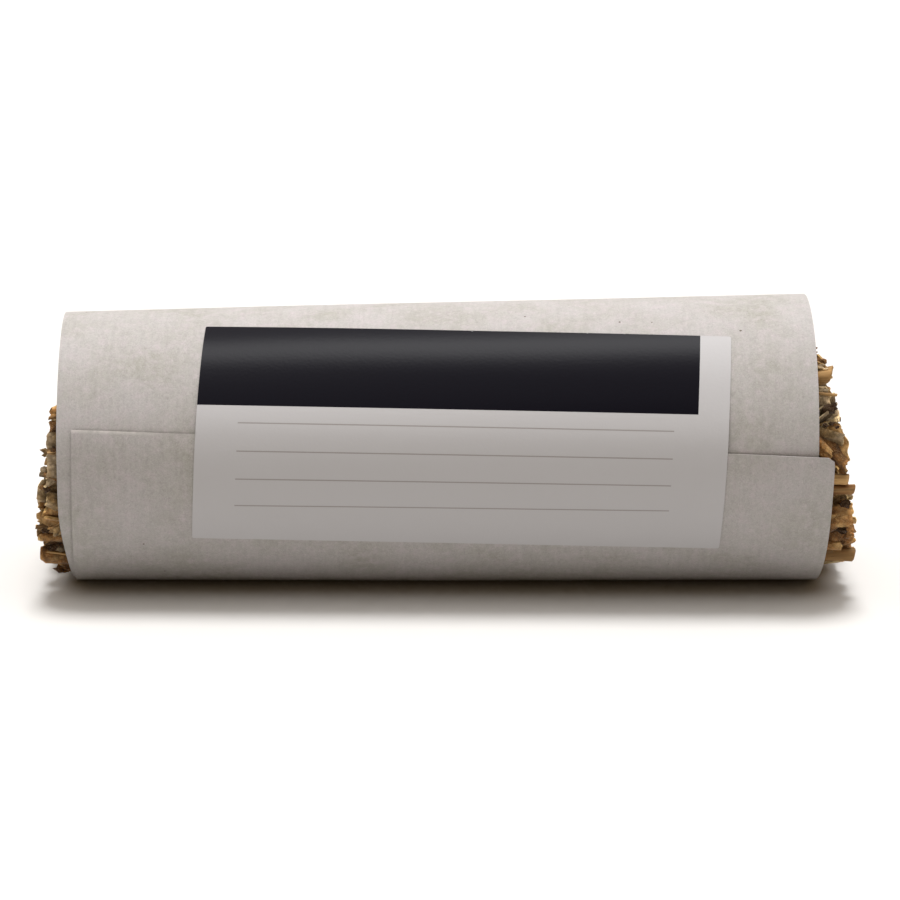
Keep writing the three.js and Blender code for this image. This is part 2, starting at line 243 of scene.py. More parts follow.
paperFinish = {
    "colour": "#adaaa9",
    "cloudColour": "#a19f99", "cloudSize": 7.0, "clouded": (0.35, 0.7),
    "blushColour": "#aea7a9", "blushed": (0.45, 0.75),  # faint pink, from dyed pulp in the mix
    "mottleSize": 1.1, "mottleShare": 0.25,
    "fibreSize": 0.26,
    "ribSize": 0.22, "ribLength": 2.2, "ribShare": 0.18,  # fine ribs across it, from how it was made
    "shades": (0.46, 0.97), "brightness": (0.8, 1.2),
    "speckColour": "#6b635c", "speckSpacing": 2.0, "speckRadius": 0.19, "speckShare": 0.5,
    "smudgeColour": "#8e9298", "smudgeRadius": 2.2, "smudgeShare": 0.4,
    "smudges": [(-10, -15.2, 4.5), (4.6, -15.0, 4.2), (17.5, -15.6, 4.0)],  # x, y, z
    "edgeHighlightColour": "#dfdbd7",  # painted highlight along the flap's free edge
    "relief": 0.5, "bump": (0.3, 0.05),
    "shader": {"Roughness": 0.95, "IOR": 1.45, "Specular IOR Level": 0.25},
}


def recycledPaper():
    # uncoated paper from recycled pulp: matte, clouded, with fine ribs, grey fibres and dark specks
    f = paperFinish
    material, tree = newMaterial("recycled wrapping paper, uncoated")
    place = placeIn(tree)
    mottle = noisy(tree, place, f["mottleSize"], 4, Roughness=0.65)
    fibre = noisy(tree, place, f["fibreSize"], 3, Roughness=0.7, Distortion=1.5)
    ribs = noisy(tree, placeIn(tree, (f["ribSize"], f["ribLength"], f["ribLength"])), 2, 1)
    cloud = remap(tree, noisy(tree, place, f["cloudSize"], 3), *f["clouded"])
    colour = mixed(tree, cloud, f["colour"], f["cloudColour"])
    colour = mixed(tree, remap(tree, mottle, *f["blushed"]), colour, f["blushColour"])
    fine = calculate(tree, "MULTIPLY_ADD", ribs, f["ribShare"], fibre)
    shade = calculate(tree, "MULTIPLY_ADD", mottle, f["mottleShare"], fine)
    colour = scaled(tree, colour, remap(tree, shade, *f["shades"], *f["brightness"]))
    specks = addNode(tree, "TexVoronoi", {"Vector": place, "Scale": 1 / f["speckSpacing"]}).outputs
    radius = f["speckRadius"] / f["speckSpacing"]
    radius = remap(tree, specks["Color"], 1 - f["speckShare"], 1, 0, radius)
    isSpeck = calculate(tree, "LESS_THAN", specks["Distance"], radius)
    colour = mixed(tree, isSpeck, colour, f["speckColour"])
    for smudge in f["smudges"]:
        away = addNode(tree, "VectorMath", {0: place, 1: smudge}, operation="DISTANCE").outputs["Value"]
        strength = remap(
            tree, away, f["smudgeRadius"], 0, 0, f["smudgeShare"], interpolation_type="SMOOTHSTEP")
        colour = mixed(tree, times(tree, strength, fibre), colour, f["smudgeColour"])
    # painted highlight: a thin line along the left part of the flap's free edge is lightened, broken up
    # by the mottle
    edgeHighlight = addNode(tree, "Attribute", attribute_name="edgeHighlight").outputs["Fac"]
    edgeHighlightShare = times(tree, edgeHighlight, mottle, use_clamp=True)
    colour = mixed(tree, edgeHighlightShare, colour, f["edgeHighlightColour"])
    return finishMaterial(material, colour, times(tree, fine, f["relief"]), f)


labelFinish = {
    "colour": "#b6b5b7",
    "inkColour": "#121118", "bandLength": 59.8, "bandHeight": 12.45,
    "skew": 0.018,  # the print runs up to the right, against the label's edges
    "scuffStretch": (0.9, 2.5, 2.5), "scuffScale": 1.3,
    "scuffed": (0, 0.5, 0.66, 0.9),  # the ink is rubbed most within half a millimetre of the edge
    "lineColour": "#979392", "lineWidth": 0.16, "lineSpacing": 3.4, "lineCount": 4,
    "lineMiddle": 31, "lineLength": 52,  # writing lines, from the label's left edge
    "firstLine": 14.6,  # down from the label's top edge
    "roughness": (0.6, 0.31),  # of the paper and of the ink
    "grainSize": 0.35,
    "bump": (0.35, 0.03),
    "shader": {"IOR": 1.5, "Specular IOR Level": 0.036},
}


def coatedLabel(length, height):
    # smooth white label stock with a printed black band, whose ink has a satin, grainy gloss
    f = labelFinish
    material, tree = newMaterial("coated label paper with black ink")
    uv = addNode(tree, "SeparateXYZ", {"Vector": addNode(tree, "UVMap", uv_map="UVMap").outputs["UV"]})
    across = times(tree, uv.outputs["Y"], length)
    fromTop = times(tree, uv.outputs["X"], height)
    down = calculate(tree, "MULTIPLY_ADD", across, f["skew"], fromTop)
    place = placeIn(tree)
    inLength = calculate(tree, "LESS_THAN", across, f["bandLength"])
    inHeight = calculate(tree, "LESS_THAN", down, f["bandHeight"])
    scuff = noisy(tree, stretched(tree, place, f["scuffStretch"]), 1 / f["scuffScale"], 6)
    isWhole = calculate(tree, "LESS_THAN", scuff, remap(tree, fromTop, *f["scuffed"]))
    ink = times(tree, times(tree, inLength, inHeight), isWhole)
    belowFirst = calculate(tree, "SUBTRACT", down, f["firstLine"])
    offLine = calculate(tree, "PINGPONG", belowFirst, f["lineSpacing"] / 2)
    isLine = calculate(tree, "LESS_THAN", offLine, f["lineWidth"] / 2)
    isAcross = calculate(tree, "COMPARE", across, f["lineMiddle"], f["lineLength"] / 2)
    isRow = calculate(
        tree, "COMPARE", belowFirst, f["lineSpacing"] * (f["lineCount"] - 1) / 2,
        f["lineSpacing"] * (f["lineCount"] - 0.5) / 2)
    ruled = times(tree, times(tree, isLine, isAcross), isRow)
    colour = mixed(tree, ruled, f["colour"], f["lineColour"])
    colour = mixed(tree, ink, colour, f["inkColour"])
    roughness = remap(tree, ink, 0, 1, *f["roughness"])
    tree.links.new(roughness, tree.nodes["Principled BSDF"].inputs["Roughness"])
    return finishMaterial(material, colour, noisy(tree, place, f["grainSize"], 3), f)


leafFinish = {
    "stops": [(0, "#b7a183"), (0.25, "#8e744e"), (0.5, "#bd9560"), (0.75, "#a97540"), (1, "#56321a")],
    "blotchSize": 2.0, "blotched": (0.25, 0.75, -0.3, 0.3),
    "veinColour": "#45301a", "veinShare": 0.45,
    "cellSize": 0.55, "cells": (0.2, 0.75),  # the pebbled net of small veins
    "bloomColour": "#dcc594", "bloomed": (0.45, 0.75, 0, 0.3), "hairSize": 0.12,
    "ownPlace": 50.0,  # so far apart do two leaves lie in the noise
    "bump": (0.7, 0.16),
    "shader": {"Roughness": 0.88, "IOR": 1.4, "Specular IOR Level": 0.2, "Sheen Weight": 0.1},
}


def driedLeaf():
    # dried sage leaf: felted with short pale hairs over an olive-brown blade, pebbled between veins
    f = leafFinish
    material, tree = newMaterial("dried sage leaf, felted")
    hue, light, seed = paintedTone(tree)
    own = addNode(tree, "CombineXYZ", {"X": seed, "Y": seed, "Z": seed}).outputs["Vector"]
    place = addNode(tree, "VectorMath", {
        0: placeIn(tree), 1: scaled(tree, own, f["ownPlace"])}, operation="ADD").outputs[0]
    blotch = remap(tree, noisy(tree, place, f["blotchSize"], 4), *f["blotched"])
    level = calculate(tree, "ADD", hue, blotch, use_clamp=True)
    colour = ramped(tree, level, f["stops"])
    cells = addNode(tree, "TexVoronoi", {"Vector": place, "Scale": 1 / f["cellSize"]})
    pebble = remap(tree, cells.outputs["Distance"], *f["cells"])
    hairs = noisy(tree, place, f["hairSize"], 2)
    colour = mixed(tree, times(tree, pebble, f["veinShare"]), colour, f["veinColour"])
    colour = mixed(tree, remap(tree, hairs, *f["bloomed"]), colour, f["bloomColour"])
    height = calculate(tree, "SUBTRACT", hairs, pebble)
    return finishMaterial(material, scaled(tree, colour, light), height, f)


stemFinish = {
    "stops": [(0.0, "#7b6541"), (0.35, "#9c794c"), (0.65, "#b89462"), (1.0, "#6f4923")],
    "furrowColour": "#38230f", "furrowed": (0.5, 0.34, 0, 0.8),
    "strandSize": 0.28, "strandLength": 5.0, "strandShare": 0.9, "darker": -0.45,
    "bump": (0.7, 0.2),
    "shader": {"Roughness": 0.8, "Specular IOR Level": 0.3},
}


def woodyStem():
    # dried woody stem: thin bark split into long strands, with darker furrows between them
    f = stemFinish
    material, tree = newMaterial("dried woody stem")
    hue, light = paintedTone(tree)[:2]
    strand = noisy(tree, placeIn(tree, (f["strandLength"], f["strandSize"], f["strandSize"])), 2, 5)
    start = calculate(tree, "ADD", hue, f["darker"])
    level = calculate(tree, "MULTIPLY_ADD", strand, f["strandShare"], start, use_clamp=True)
    colour = ramped(tree, level, f["stops"])
    colour = mixed(tree, remap(tree, strand, *f["furrowed"]), colour, f["furrowColour"])
    return finishMaterial(material, scaled(tree, colour, light), strand, f)


def plainMaterial(name, f):
    # one noise runs along the ramp of colours, from the painted hue on, and another raises the grain
    material, tree = newMaterial(name)
    hue, light = paintedTone(tree)[:2] if f["painted"] else (0, 1)
    place = placeIn(tree)
    level = calculate(tree, "MULTIPLY_ADD", hue, f["hueShare"], noisy(tree, place, *f["blotch"]))
    level = remap(tree, level, *f["levels"])
    colour = ramped(tree, level, f["stops"])
    return finishMaterial(material, scaled(tree, colour, light), noisy(tree, place, *f["grain"]), f)


leafMaterial = driedLeaf()
stemMaterial = woodyStem()

# The cut or torn rim of a dried leaf: crumbly, browner than its felted faces. A noise is its size
# in millimetres and its detail.
edgeMaterial = plainMaterial("cut edge of a dried leaf", {
    "stops": [(0.0, "#d2c09a"), (0.5, "#c6a56d"), (1.0, "#6f4f2c")], "painted": True, "hueShare": 1,
    "levels": (0.3, 1.5), "blotch": (0.25, 3), "grain": (0.25, 3), "bump": (0.7, 0.2),
    "shader": {"Roughness": 0.9, "Specular IOR Level": 0.2}})

# The cut end of a stem: pale, spongy wood with small pores
pithMaterial = plainMaterial("pith of a cut stem", {
    "stops": [(0.0, "#a67c46"), (1.0, "#dcc393")], "painted": True, "hueShare": 0,
    "levels": (0.35, 0.65), "blotch": (0.16, 2), "grain": (0.16, 2), "bump": (0.5, 0.1),
    "shader": {"Roughness": 0.9, "Specular IOR Level": 0.2}})

# Dried lavender: dull grey-violet, downy buds that have faded to brown at their tips
budMaterial = plainMaterial("dried lavender bud, downy", {
    "stops": [(0.0, "#7c6d66"), (0.4, "#6a5a5b"), (0.7, "#846a48"), (1.0, "#57402a")], "painted": True,
    "hueShare": 1, "levels": (0.3, 1.5), "blotch": (1 / 0.9, 4), "grain": (0.15, 2), "bump": (0.5, 0.1),
    "shader": {"Roughness": 0.9, "Specular IOR Level": 0.2, "Sheen Weight": 0.3}})

# Unbleached cotton, spun and plied: matte, a little fuzzy
cottonMaterial = plainMaterial("unbleached cotton thread", {
    "stops": [(0.0, "#b9ac92"), (1.0, "#ded4bf")], "painted": False, "hueShare": 0,
    "levels": (0, 1), "blotch": (0.12, 3), "grain": (0.12, 3), "bump": (0.6, 0.08),
    "shader": {"Roughness": 0.95, "Sheen Weight": 0.3}})
print("materials ready")


# The paper sheet, rolled one and a third times round

sheet = {
    "width": 91, "leftRadius": 16.85, "rightRadius": 17.95, "flatDepth": 0.47,
    "flapLeftEdge": -44.7, "shiftPerTurn": 1.83, "seamLeft": 21, "seamRight": 6.4,
    "sink": (150, 350), "layerPitch": 0.34,  # over these degrees it goes under the turn outside it
    "turns": 65 / 48, "thickness": 0.2, "inset": 0.06,
    "rows": 320, "columns": 64, "sharpest": 40,
    "cornerRadius": 0.75,  # of the flap's right corner
    "innerTurn": (320, 380), "slant": 1.1, "slantHeight": 13,  # its left rim draws in towards the floor
    "flapLift": 0.35, "liftLength": 7.0, "lifted": (33, 46),  # the flap's free edge stands off
    "unevenness": (0.09, 0.03, 1.7, 3), "steadyRim": 6,  # of a sheet rolled by hand
    "looseMiddle": 0.3, "tightEnds": 3,  # it lies tighter towards its ends
    "skew": 0.038,  # the back is further left than the front
    # a painted highlight along the flap's free edge: its width, the x left of which it shows, and how
    # far it fades in
    "edgeHighlightWidth": 0.5, "edgeHighlightUntil": -33, "edgeHighlightFade": 5,
}


def rollShare(x):
    return (x - sheet["flapLeftEdge"]) / sheet["width"]


def rollRadius(x):
    return between(rollShare(x), sheet["leftRadius"], sheet["rightRadius"])


def seamAngle(x):
    return radians(between(rollShare(x), sheet["seamLeft"], sheet["seamRight"]))


def sink(wound):
    return sheet["layerPitch"] * smoothStep(degrees(wound), *sheet["sink"])


def rollPoint(x, angle, inside):
    radius = rollRadius(x) - inside
    middle = rollRadius(x) - sheet["flatDepth"]
    height = max(middle + radius * sin(angle), inside)
    return x, -radius * cos(angle), height


def unevenness(x, wound, ends, fromEdge):
    # how far the sheet stands off its round shape; ends is 1 where it is held tight
    tight = between(ends, sheet["looseMiddle"], 1)
    wobble = ripple(sheet["unevenness"], x, wound, 0) - sheet["unevenness"][0] * tight
    return wobble * smoothStep(fromEdge, 0, sheet["steadyRim"])


def sheetPoint(along, side):
    wound = tau * along * sheet["turns"]
    fromEdge = wound * sheet["rightRadius"]
    share = (side + 1) / 2
    missing = max(sheet["cornerRadius"] - fromEdge, 0)
    rounding = sheet["cornerRadius"] - sqrt(sheet["cornerRadius"] ** 2 - missing ** 2)
    x = sheet["flapLeftEdge"] + share * (sheet["width"] - rounding)
    x -= sheet["shiftPerTurn"] * min(wound / tau, 1)
    wobble = unevenness(x, wound, abs(side) ** sheet["tightEnds"], fromEdge)
    lift = sheet["flapLift"] * smoothStep(1 - fromEdge / sheet["liftLength"])
    lift *= smoothStep(x, *sheet["lifted"])
    # where along the edge the painted highlight shows: only on its left part
    highlightAlong = smoothStep(sheet["edgeHighlightUntil"] - x, 0, sheet["edgeHighlightFade"])
    edgeHighlight.append(smoothStep(1 - fromEdge / sheet["edgeHighlightWidth"]) * highlightAlong)
    x, y, z = rollPoint(x, seamAngle(x) - wound, sink(wound) - wobble - lift + sheet["inset"])
    isInner = smoothStep(degrees(wound), *sheet["innerTurn"])
    x += sheet["slant"] * (1 - share) * isInner * smoothStep(1 - z / sheet["slantHeight"])
    return x - sheet["skew"] * (y + sheet["leftRadius"]), y, z


# the painted highlight along the flap's free edge, one share for each point of the sheet
edgeHighlight = []
paperPiece = addGrid(sheet["rows"], sheet["columns"], sheetPoint)
paperPiece.data.attributes.new("edgeHighlight", "FLOAT", "POINT").data.foreach_set("value", edgeHighlight)
paperPiece.name = "rolled_paper"
applyModifier(paperPiece, "SOLIDIFY", thickness=sheet["thickness"] * mm, offset=-1, use_even_offset=True)
smoothFaces(paperPiece, sheet["sharpest"])
dress(paperPiece, recycledPaper())
finishPiece(paperPiece, "paper_wrap")
print("paper rolled")


# The label

sticker = {
    "length": 63.5, "height": 29.6, "thickness": 0.1, "glue": 0.04, "middle": 1.9,
    "aboveSeam": 1.24, "narrowing": 0.03, "stepStart": 0.4, "step": 8, "columns": 64, "rows": 48,
    "cornerRadius": 0.25, "tightness": 0.2,
}
seamFall = radians(sheet["seamRight"] - sheet["seamLeft"])
seamSlope = seamFall * rollRadius(sticker["middle"]) / sheet["width"]


def stickerPoint(along, side):
    up = (0.5 - along) * sticker["height"] * (1 - sticker["narrowing"] * (side + 1) / 2)
    x = sticker["middle"] + side / 2 * sticker["length"] - up * seamSlope
    overSeam = up + sticker["aboveSeam"]
    angle = overSeam / rollRadius(x)
    fall = sink(tau - angle) * smoothStep(overSeam - sticker["stepStart"], 0, sticker["step"])
    wound = -angle if overSeam < 0 else tau - angle
    ends = abs(side) ** sheet["tightEnds"] * sticker["tightness"]
    wobble = unevenness(x, wound, ends, abs(overSeam))
    inside = fall - wobble + sheet["inset"] - sticker["glue"] - sticker["thickness"]
    return rollPoint(x, seamAngle(x) + angle, inside)


labelPiece = addGrid(sticker["rows"], sticker["columns"], stickerPoint)
labelPiece.name = "stuck_label"
editAll(labelPiece)
bpy.ops.mesh.select_mode(type="VERT")
bpy.ops.mesh.select_all(action="DESELECT")
leaveEditing()
for corner in (0, sticker["rows"], -sticker["rows"] - 1, -1):
    labelPiece.data.vertices[corner].select = True
bpy.ops.object.mode_set(mode="EDIT")
bpy.ops.mesh.bevel(offset=sticker["cornerRadius"] * mm, segments=3, affect="VERTICES")
leaveEditing()
applyModifier(labelPiece, "SOLIDIFY", thickness=sticker["thickness"] * mm, offset=-1)
smoothFaces(labelPiece, sheet["sharpest"])
dress(labelPiece, coatedLabel(sticker["length"], sticker["height"]))
finishPiece(labelPiece, "label")
print("label stuck on")


# The bundle: where each sprig lies, as in the solid model

bundle = {
    "length": 100, "radius": 15, "widening": 1.02, "height": 16.05, "waist": 0.88, "waistEnd": 37,
    "flareEnd": 45, "twist": 14, "cellGap": 0.06, "rings": [(1, 0), (5, 6.7), (9, 11.9)],
    "jitter": 0.7, "sageShare": 4.1, "lavenderShare": 2.7, "lavenderPlaces": [4, 8, 12],
    "placesSeed": 2027, "sprigSeed": 1213, "seedStep": 37, "sharpest": 50,
}


def squeeze(x):
    return between(smoothStep(abs(x), bundle["waistEnd"], bundle["flareEnd"]), bundle["waist"], 1)


def bundlePoint(x, across, up):
    twist = radians(bundle["twist"]) * x / bundle["length"]
    size = squeeze(x)
    return (
        x,
        size * bundle["widening"] * (across * cos(twist) - up * sin(twist)),
        bundle["height"] + size * (across * sin(twist) + up * cos(twist)),
    )


def layOutSprigs():
    draw = seededRandom(bundle["placesSeed"])
    sprigs = []
    for count, radius in bundle["rings"]:
        for i in range(count):
            turn = tau * (i + 0.5) / count
            isLavender = len(sprigs) in bundle["lavenderPlaces"]
            across = radius * cos(turn) + draw(-bundle["jitter"], bundle["jitter"])
            up = radius * sin(turn) + draw(-bundle["jitter"], bundle["jitter"])
            share = bundle["lavenderShare"] if isLavender else bundle["sageShare"]
            sprigs.append({"across": across, "up": up, "share": share, "lavender": isLavender})
    return sprigs


sprigs = layOutSprigs()


def cellReach(sprig, angle):
    # how far a sprig may reach from its middle: halfway to its neighbours, or to the bundle's outside
    cosine, sine = cos(angle), sin(angle)
    along = sprig["across"] * cosine + sprig["up"] * sine
    middleSquared = sprig["across"] ** 2 + sprig["up"] ** 2
    reach = -along + sqrt(along ** 2 + bundle["radius"] ** 2 - middleSquared)
    for other in sprigs:
        across, up = other["across"] - sprig["across"], other["up"] - sprig["up"]
        distance = hypot(across, up)
        if distance == 0 or across * cosine + up * sine <= 0:
            continue
        border = (distance ** 2 + sprig["share"] ** 2 - other["share"] ** 2) / (2 * distance)
        facing = (across * cosine + up * sine) / distance
        reach = min(reach, (border - bundle["cellGap"] / 2 / bundle["waist"]) / facing)
    return reach


def sprigPoint(sprig, x, angle, radius):
    across = sprig["across"] + radius * cos(angle)
    return bundlePoint(x, across, sprig["up"] + radius * sin(angle))


cuts = {  # how far each end reaches from the middle, by height seen a little from above the front
    -1: [(0.2, 45.7), (0.8, 47.4), (1.5, 49.1), (2.7, 49.3), (4, 49.5), (9.1, 49.4), (11.2, 48.9),
         (12.7, 48.1), (15.5, 47.9), (16.9, 47.8), (19.4, 47.9), (20.9, 47.3), (21.8, 45.5), (26, 44),
         (32, 43)],
    1: [(1.2, 45), (1.7, 49.1), (2.7, 49.6), (4.1, 49.7), (5.6, 49.4), (8.4, 49), (9.8, 49.1),
        (12.7, 48.2), (14.1, 48.4), (16.9, 48), (19.8, 47.2), (21.2, 46.7), (24, 46.7), (25.4, 46.2),
        (26.9, 46), (27.8, 45.2), (28.6, 43.4), (32, 42.5)],
}
seenRise = tan(radians(15))  # how much higher a thing looks for each millimetre further back
nearEnd = 48  # from the middle, about where the sprigs are cut


def reachAt(end, y, z):
    height = z + y * seenRise
    places = cuts[end]
    for (low, near), (high, far) in zip(places, places[1:]):
        if height < high:
            return between(max(height - low, 0) / (high - low), near, far)
    return places[-1][1]


def cutPlaces(sprig, longer):
    # the mean places of the left and the right cut through a sprig
    left, right = (reachAt(end, *sprigPoint(sprig, end * nearEnd, 0, 0)[1:]) for end in (-1, 1))
    return -left - longer, right + longer


def cutAcross(piece, middle, end, lean, swing):
    # cuts away all beyond a slanting plane and closes the cut; end is -1 for the left end
    level = cos(lean)
    normal = Vector((level * cos(swing), level * sin(swing), -sin(lean))) * end
    editAll(piece)
    bpy.ops.mesh.bisect(
        plane_co=Vector(middle) * mm, plane_no=normal, use_fill=True, clear_outer=True)
    return normal


# Leaves, and the scraps of them that fill each end out to the paper

leafShape = {
    "thickness": 0.34, "length": 78, "overlap": 30, "rows": 30, "columns": 20, "sinkLength": 0.2,
    "crowding": 2.6,  # rows crowd towards the cut, where the leaf shows
    "crumple": (0.9, 0.16, 2.1, 0), "creases": (4, 0.38, 1.7, 20), "pebbles": (2, 2.3, 15, 30),
    "ragged": (1.2, 2.2, 3, 60), "fray": (0.6, 15, 9, 80), "unevenCut": (0.4, 4, 3, 90),
    "wander": (0.25, 0.09, 0.8, 40), "hues": (0.3, 0.35, 2, 5), "crease": 0.55, "grit": 0.09,
    "reliefShade": 0.4, "midrib": 0.16, "wave": (0.07, 21), "widening": 1.1, "pleats": 2.6,
    "curlLength": 2.6, "twistLength": 9, "creasedLength": 7, "rim": 0.5, "rimHue": 0.12,
    "creaseMean": 0.6, "calm": 0.3, "rimLight": 0.3, "creaseShadeShare": 0.35, "innerShade": 0.7,
    "midribNarrow": 9, "room": 0.99, "folded": (0.006, 0.077, 0.9, 0.14, 7), "rolledIn": 0.5,
    "pleated": 0.2, "wrapped": 0.12,
    "corner": 1.12,  # how far it goes into the corners of its sprig's room, against its middle size
    "behind": 1.6, "behindLength": 8,  # behind the front of the bundle, where the scraps are
    "behindRipple": (1.6, 0.3, 0.3, 11),
}

scrapShape = {
    "perEnd": 150, "length": 6.5, "rows": 11, "columns": 13, "thickness": 0.3, "widths": (1.8, 4.6),
    "bend": 1.7, "fold": 1.1, "foldSharp": 4, "crease": 0.3, "grit": 0.08, "wander": (1.8, 1.5, 0, 0),
    "crumple": (0.8, 0.3, 0.3, 0), "creases": (4, 0.36, 0.36, 20), "pebbles": (2, 2.3, 2.3, 30),
    "ragged": (0.63, 0.9, 0, 50), "fray": (0.63, 3.1, 0, 70), "unevenCut": (0.5, 0.6, 0.6, 20),
    "hues": (0.35, 0.4, 0.5, 5), "crowding": 1.6, "curlLength": 2.4, "rim": 0.5, "rimHue": 0.1,
    "depthShadeFrom": 5, "depthShade": 0.45, "hollowShade": 0.3,
    "skin": 2.4,  # nearer the outside than this they lie along the paper
    "front": 2,  # as near as this to the front they are left to the ones placed by name
    "middles": {-1: 16.35, 1: 17.2}, "radii": {-1: 15.6, 1: 16.5}, "seed": 5077,
}


def frontFace(end, height):
    # how far the front of the bundle stands out from its middle plane at one of the ends
    up = height - scrapShape["middles"][end]
    return sqrt(max(scrapShape["radii"][end] ** 2 - up ** 2, 0))


def relief(f, x, y, seed):
    # sharp folds that run every way, -1 in a fold and 1 on a ridge, and small bulges between the veins
    return 1 - abs(ripple(f["creases"], x, y, seed)), ripple(f["pebbles"], x, y, seed)


def toneAt(f, hue, light, left, creases, pebbles, seed):
    # the cut rim is browner and lighter; the brightness follows the relief, with painted light on ridges
    # and bulges and painted shade in folds and dips
    rim = smoothStep(1 - left / f["rim"])
    light *= 1 + leafShape["rimLight"] * rim
    # painted light and shade by the relief
    light *= 1 + leafShape["reliefShade"] * (leafShape["creaseShadeShare"] * creases + pebbles)
    return hue - f["rimHue"] * rim, light, ownNumber(seed), 1


def leafWidth(u, seed):
    wave, waves = leafShape["wave"]
    widening = leafShape["widening"] * leafShape["length"] / leafShape["overlap"]
    return min(widening * u, 1 + wave * sin(u * waves + seed), leafShape["widening"])


def leafCrossSection(form, side, span):
    # angle off the middle and share of the radius, for a point across the leaf
    if form == "fold":  # folded in two along its midrib
        bend, start, middle, apart, sharpness = leafShape["folded"]
        return (sqrt(side * side + bend) - start) * span, middle - apart * tanh(side * sharpness)
    if form == "scroll":  # rolled up from one edge
        share = (side + 1) / 2
        return share * span, 1 - leafShape["rolledIn"] * share
    if form == "pleat":
        depth = leafShape["pleated"]
        return side * span / 2, 1 - depth + depth * cos(leafShape["pleats"] * pi * side)
    return side * span / 2, 1 - leafShape["wrapped"] * side * side  # wrapped round


def addBlade(shape, rule, tones, offset):
    # a thin sheet of dried leaf; the rule fills in the tones as it goes
    piece = addGrid(shape["rows"], shape["columns"], rule)
    paintPoints(piece, tones)
    dress(piece, leafMaterial, edgeMaterial)
    thickness = shape["thickness"] * mm
    applyModifier(piece, "SOLIDIFY", thickness=thickness, offset=offset, material_offset_rim=1)
    return piece


def addLeaf(sprig, leaf):
    f = leafShape
    end, seed = leaf["end"], leaf["seed"]
    root = -end * f["overlap"] / 2 + leaf["shift"]
    tones = []

    def cutAt(around, share):
        # the ragged cut across the leaf, drawn in where the bundle's end is
        cut = leaf["cut"] + leaf["lean"] * sin(around) + leaf["swing"] * cos(around)
        cut += end * (ripple(f["ragged"], around, share, seed) + ripple(f["fray"], around, share, seed))
        spot = sprigPoint(sprig, cut, around, share * cellReach(sprig, around))[1:]
        return end * min(end * cut, reachAt(end, *spot) + ripple(f["unevenCut"], around, share, seed))

    def rule(along, side):
        offset, share = leafCrossSection(leaf["form"], side, leaf["span"])
        cut = cutAt(leaf["turn"] + offset, share)
        x = root + (cut - root) * (1 - (1 - along) ** f["crowding"])
        left = abs(cut - x)
        u = abs(x - root) / f["length"]
        angle = leaf["turn"] + offset * leafWidth(u, seed) + ripple(f["wander"], x, side, seed)
        angle += leaf["twist"] * (f["twistLength"] / 2 - min(left, f["twistLength"]))
        reach = cellReach(sprig, angle)
        radius = leaf["share"] * share * min(reach, f["corner"] * sprig["share"])
        creases, pebbles = relief(f, x, angle, seed)
        nearCut = between(smoothStep(1 - left / f["creasedLength"]), f["calm"], 1)
        radius += ripple(f["crumple"], x, angle, seed)
        radius += f["crease"] * nearCut * (creases - f["creaseMean"]) + f["grit"] * pebbles
        radius += f["midrib"] * exp(-(side * f["midribNarrow"]) ** 2)
        radius += leaf["curl"] * smoothStep(1 - left / f["curlLength"])
        radius = min(max(radius, leaf["inner"]), reach * f["room"])
        hue = leaf["hue"] + ripple(f["hues"], x, angle, seed)
        # painted shade: the further a point lies inside its sprig's room, the darker
        light = leaf["light"] * (1 - f["innerShade"] * (1 - radius / reach))
        tones.extend(toneAt(f, hue, light, left, creases, pebbles, seed))
        risen = smoothStep(u, 0, f["sinkLength"])
        x, y, z = sprigPoint(sprig, x, angle, between(risen, f["thickness"], radius))
        if left < f["behindLength"]:
            behind = f["behind"] + ripple(f["behindRipple"], x, z, seed)
            y = max(y, behind * smoothStep(1 - left / f["behindLength"]) - frontFace(end, z))
        return x, y, z

    return addBlade(f, rule, tones, end)


def scrapOutline(scrap):
    # a scrap seen from its end: a wandering line from rim to rim, and which way it heads at each step
    steps = scrapShape["columns"]
    line, headings = [(0.0, 0.0)], []
    for i in range(steps):
        side = (i + 0.5) / steps * 2 - 1
        heading = scrap["facing"] + scrap["bend"] * side
        heading += scrap["fold"] * tanh(scrapShape["foldSharp"] * side)
        heading += ripple(scrapShape["wander"], side, 0, scrap["seed"])
        headings.append(heading)
        step = scrap["width"] / steps
        line.append((line[-1][0] + cos(heading) * step, line[-1][1] + sin(heading) * step))
    return line, headings


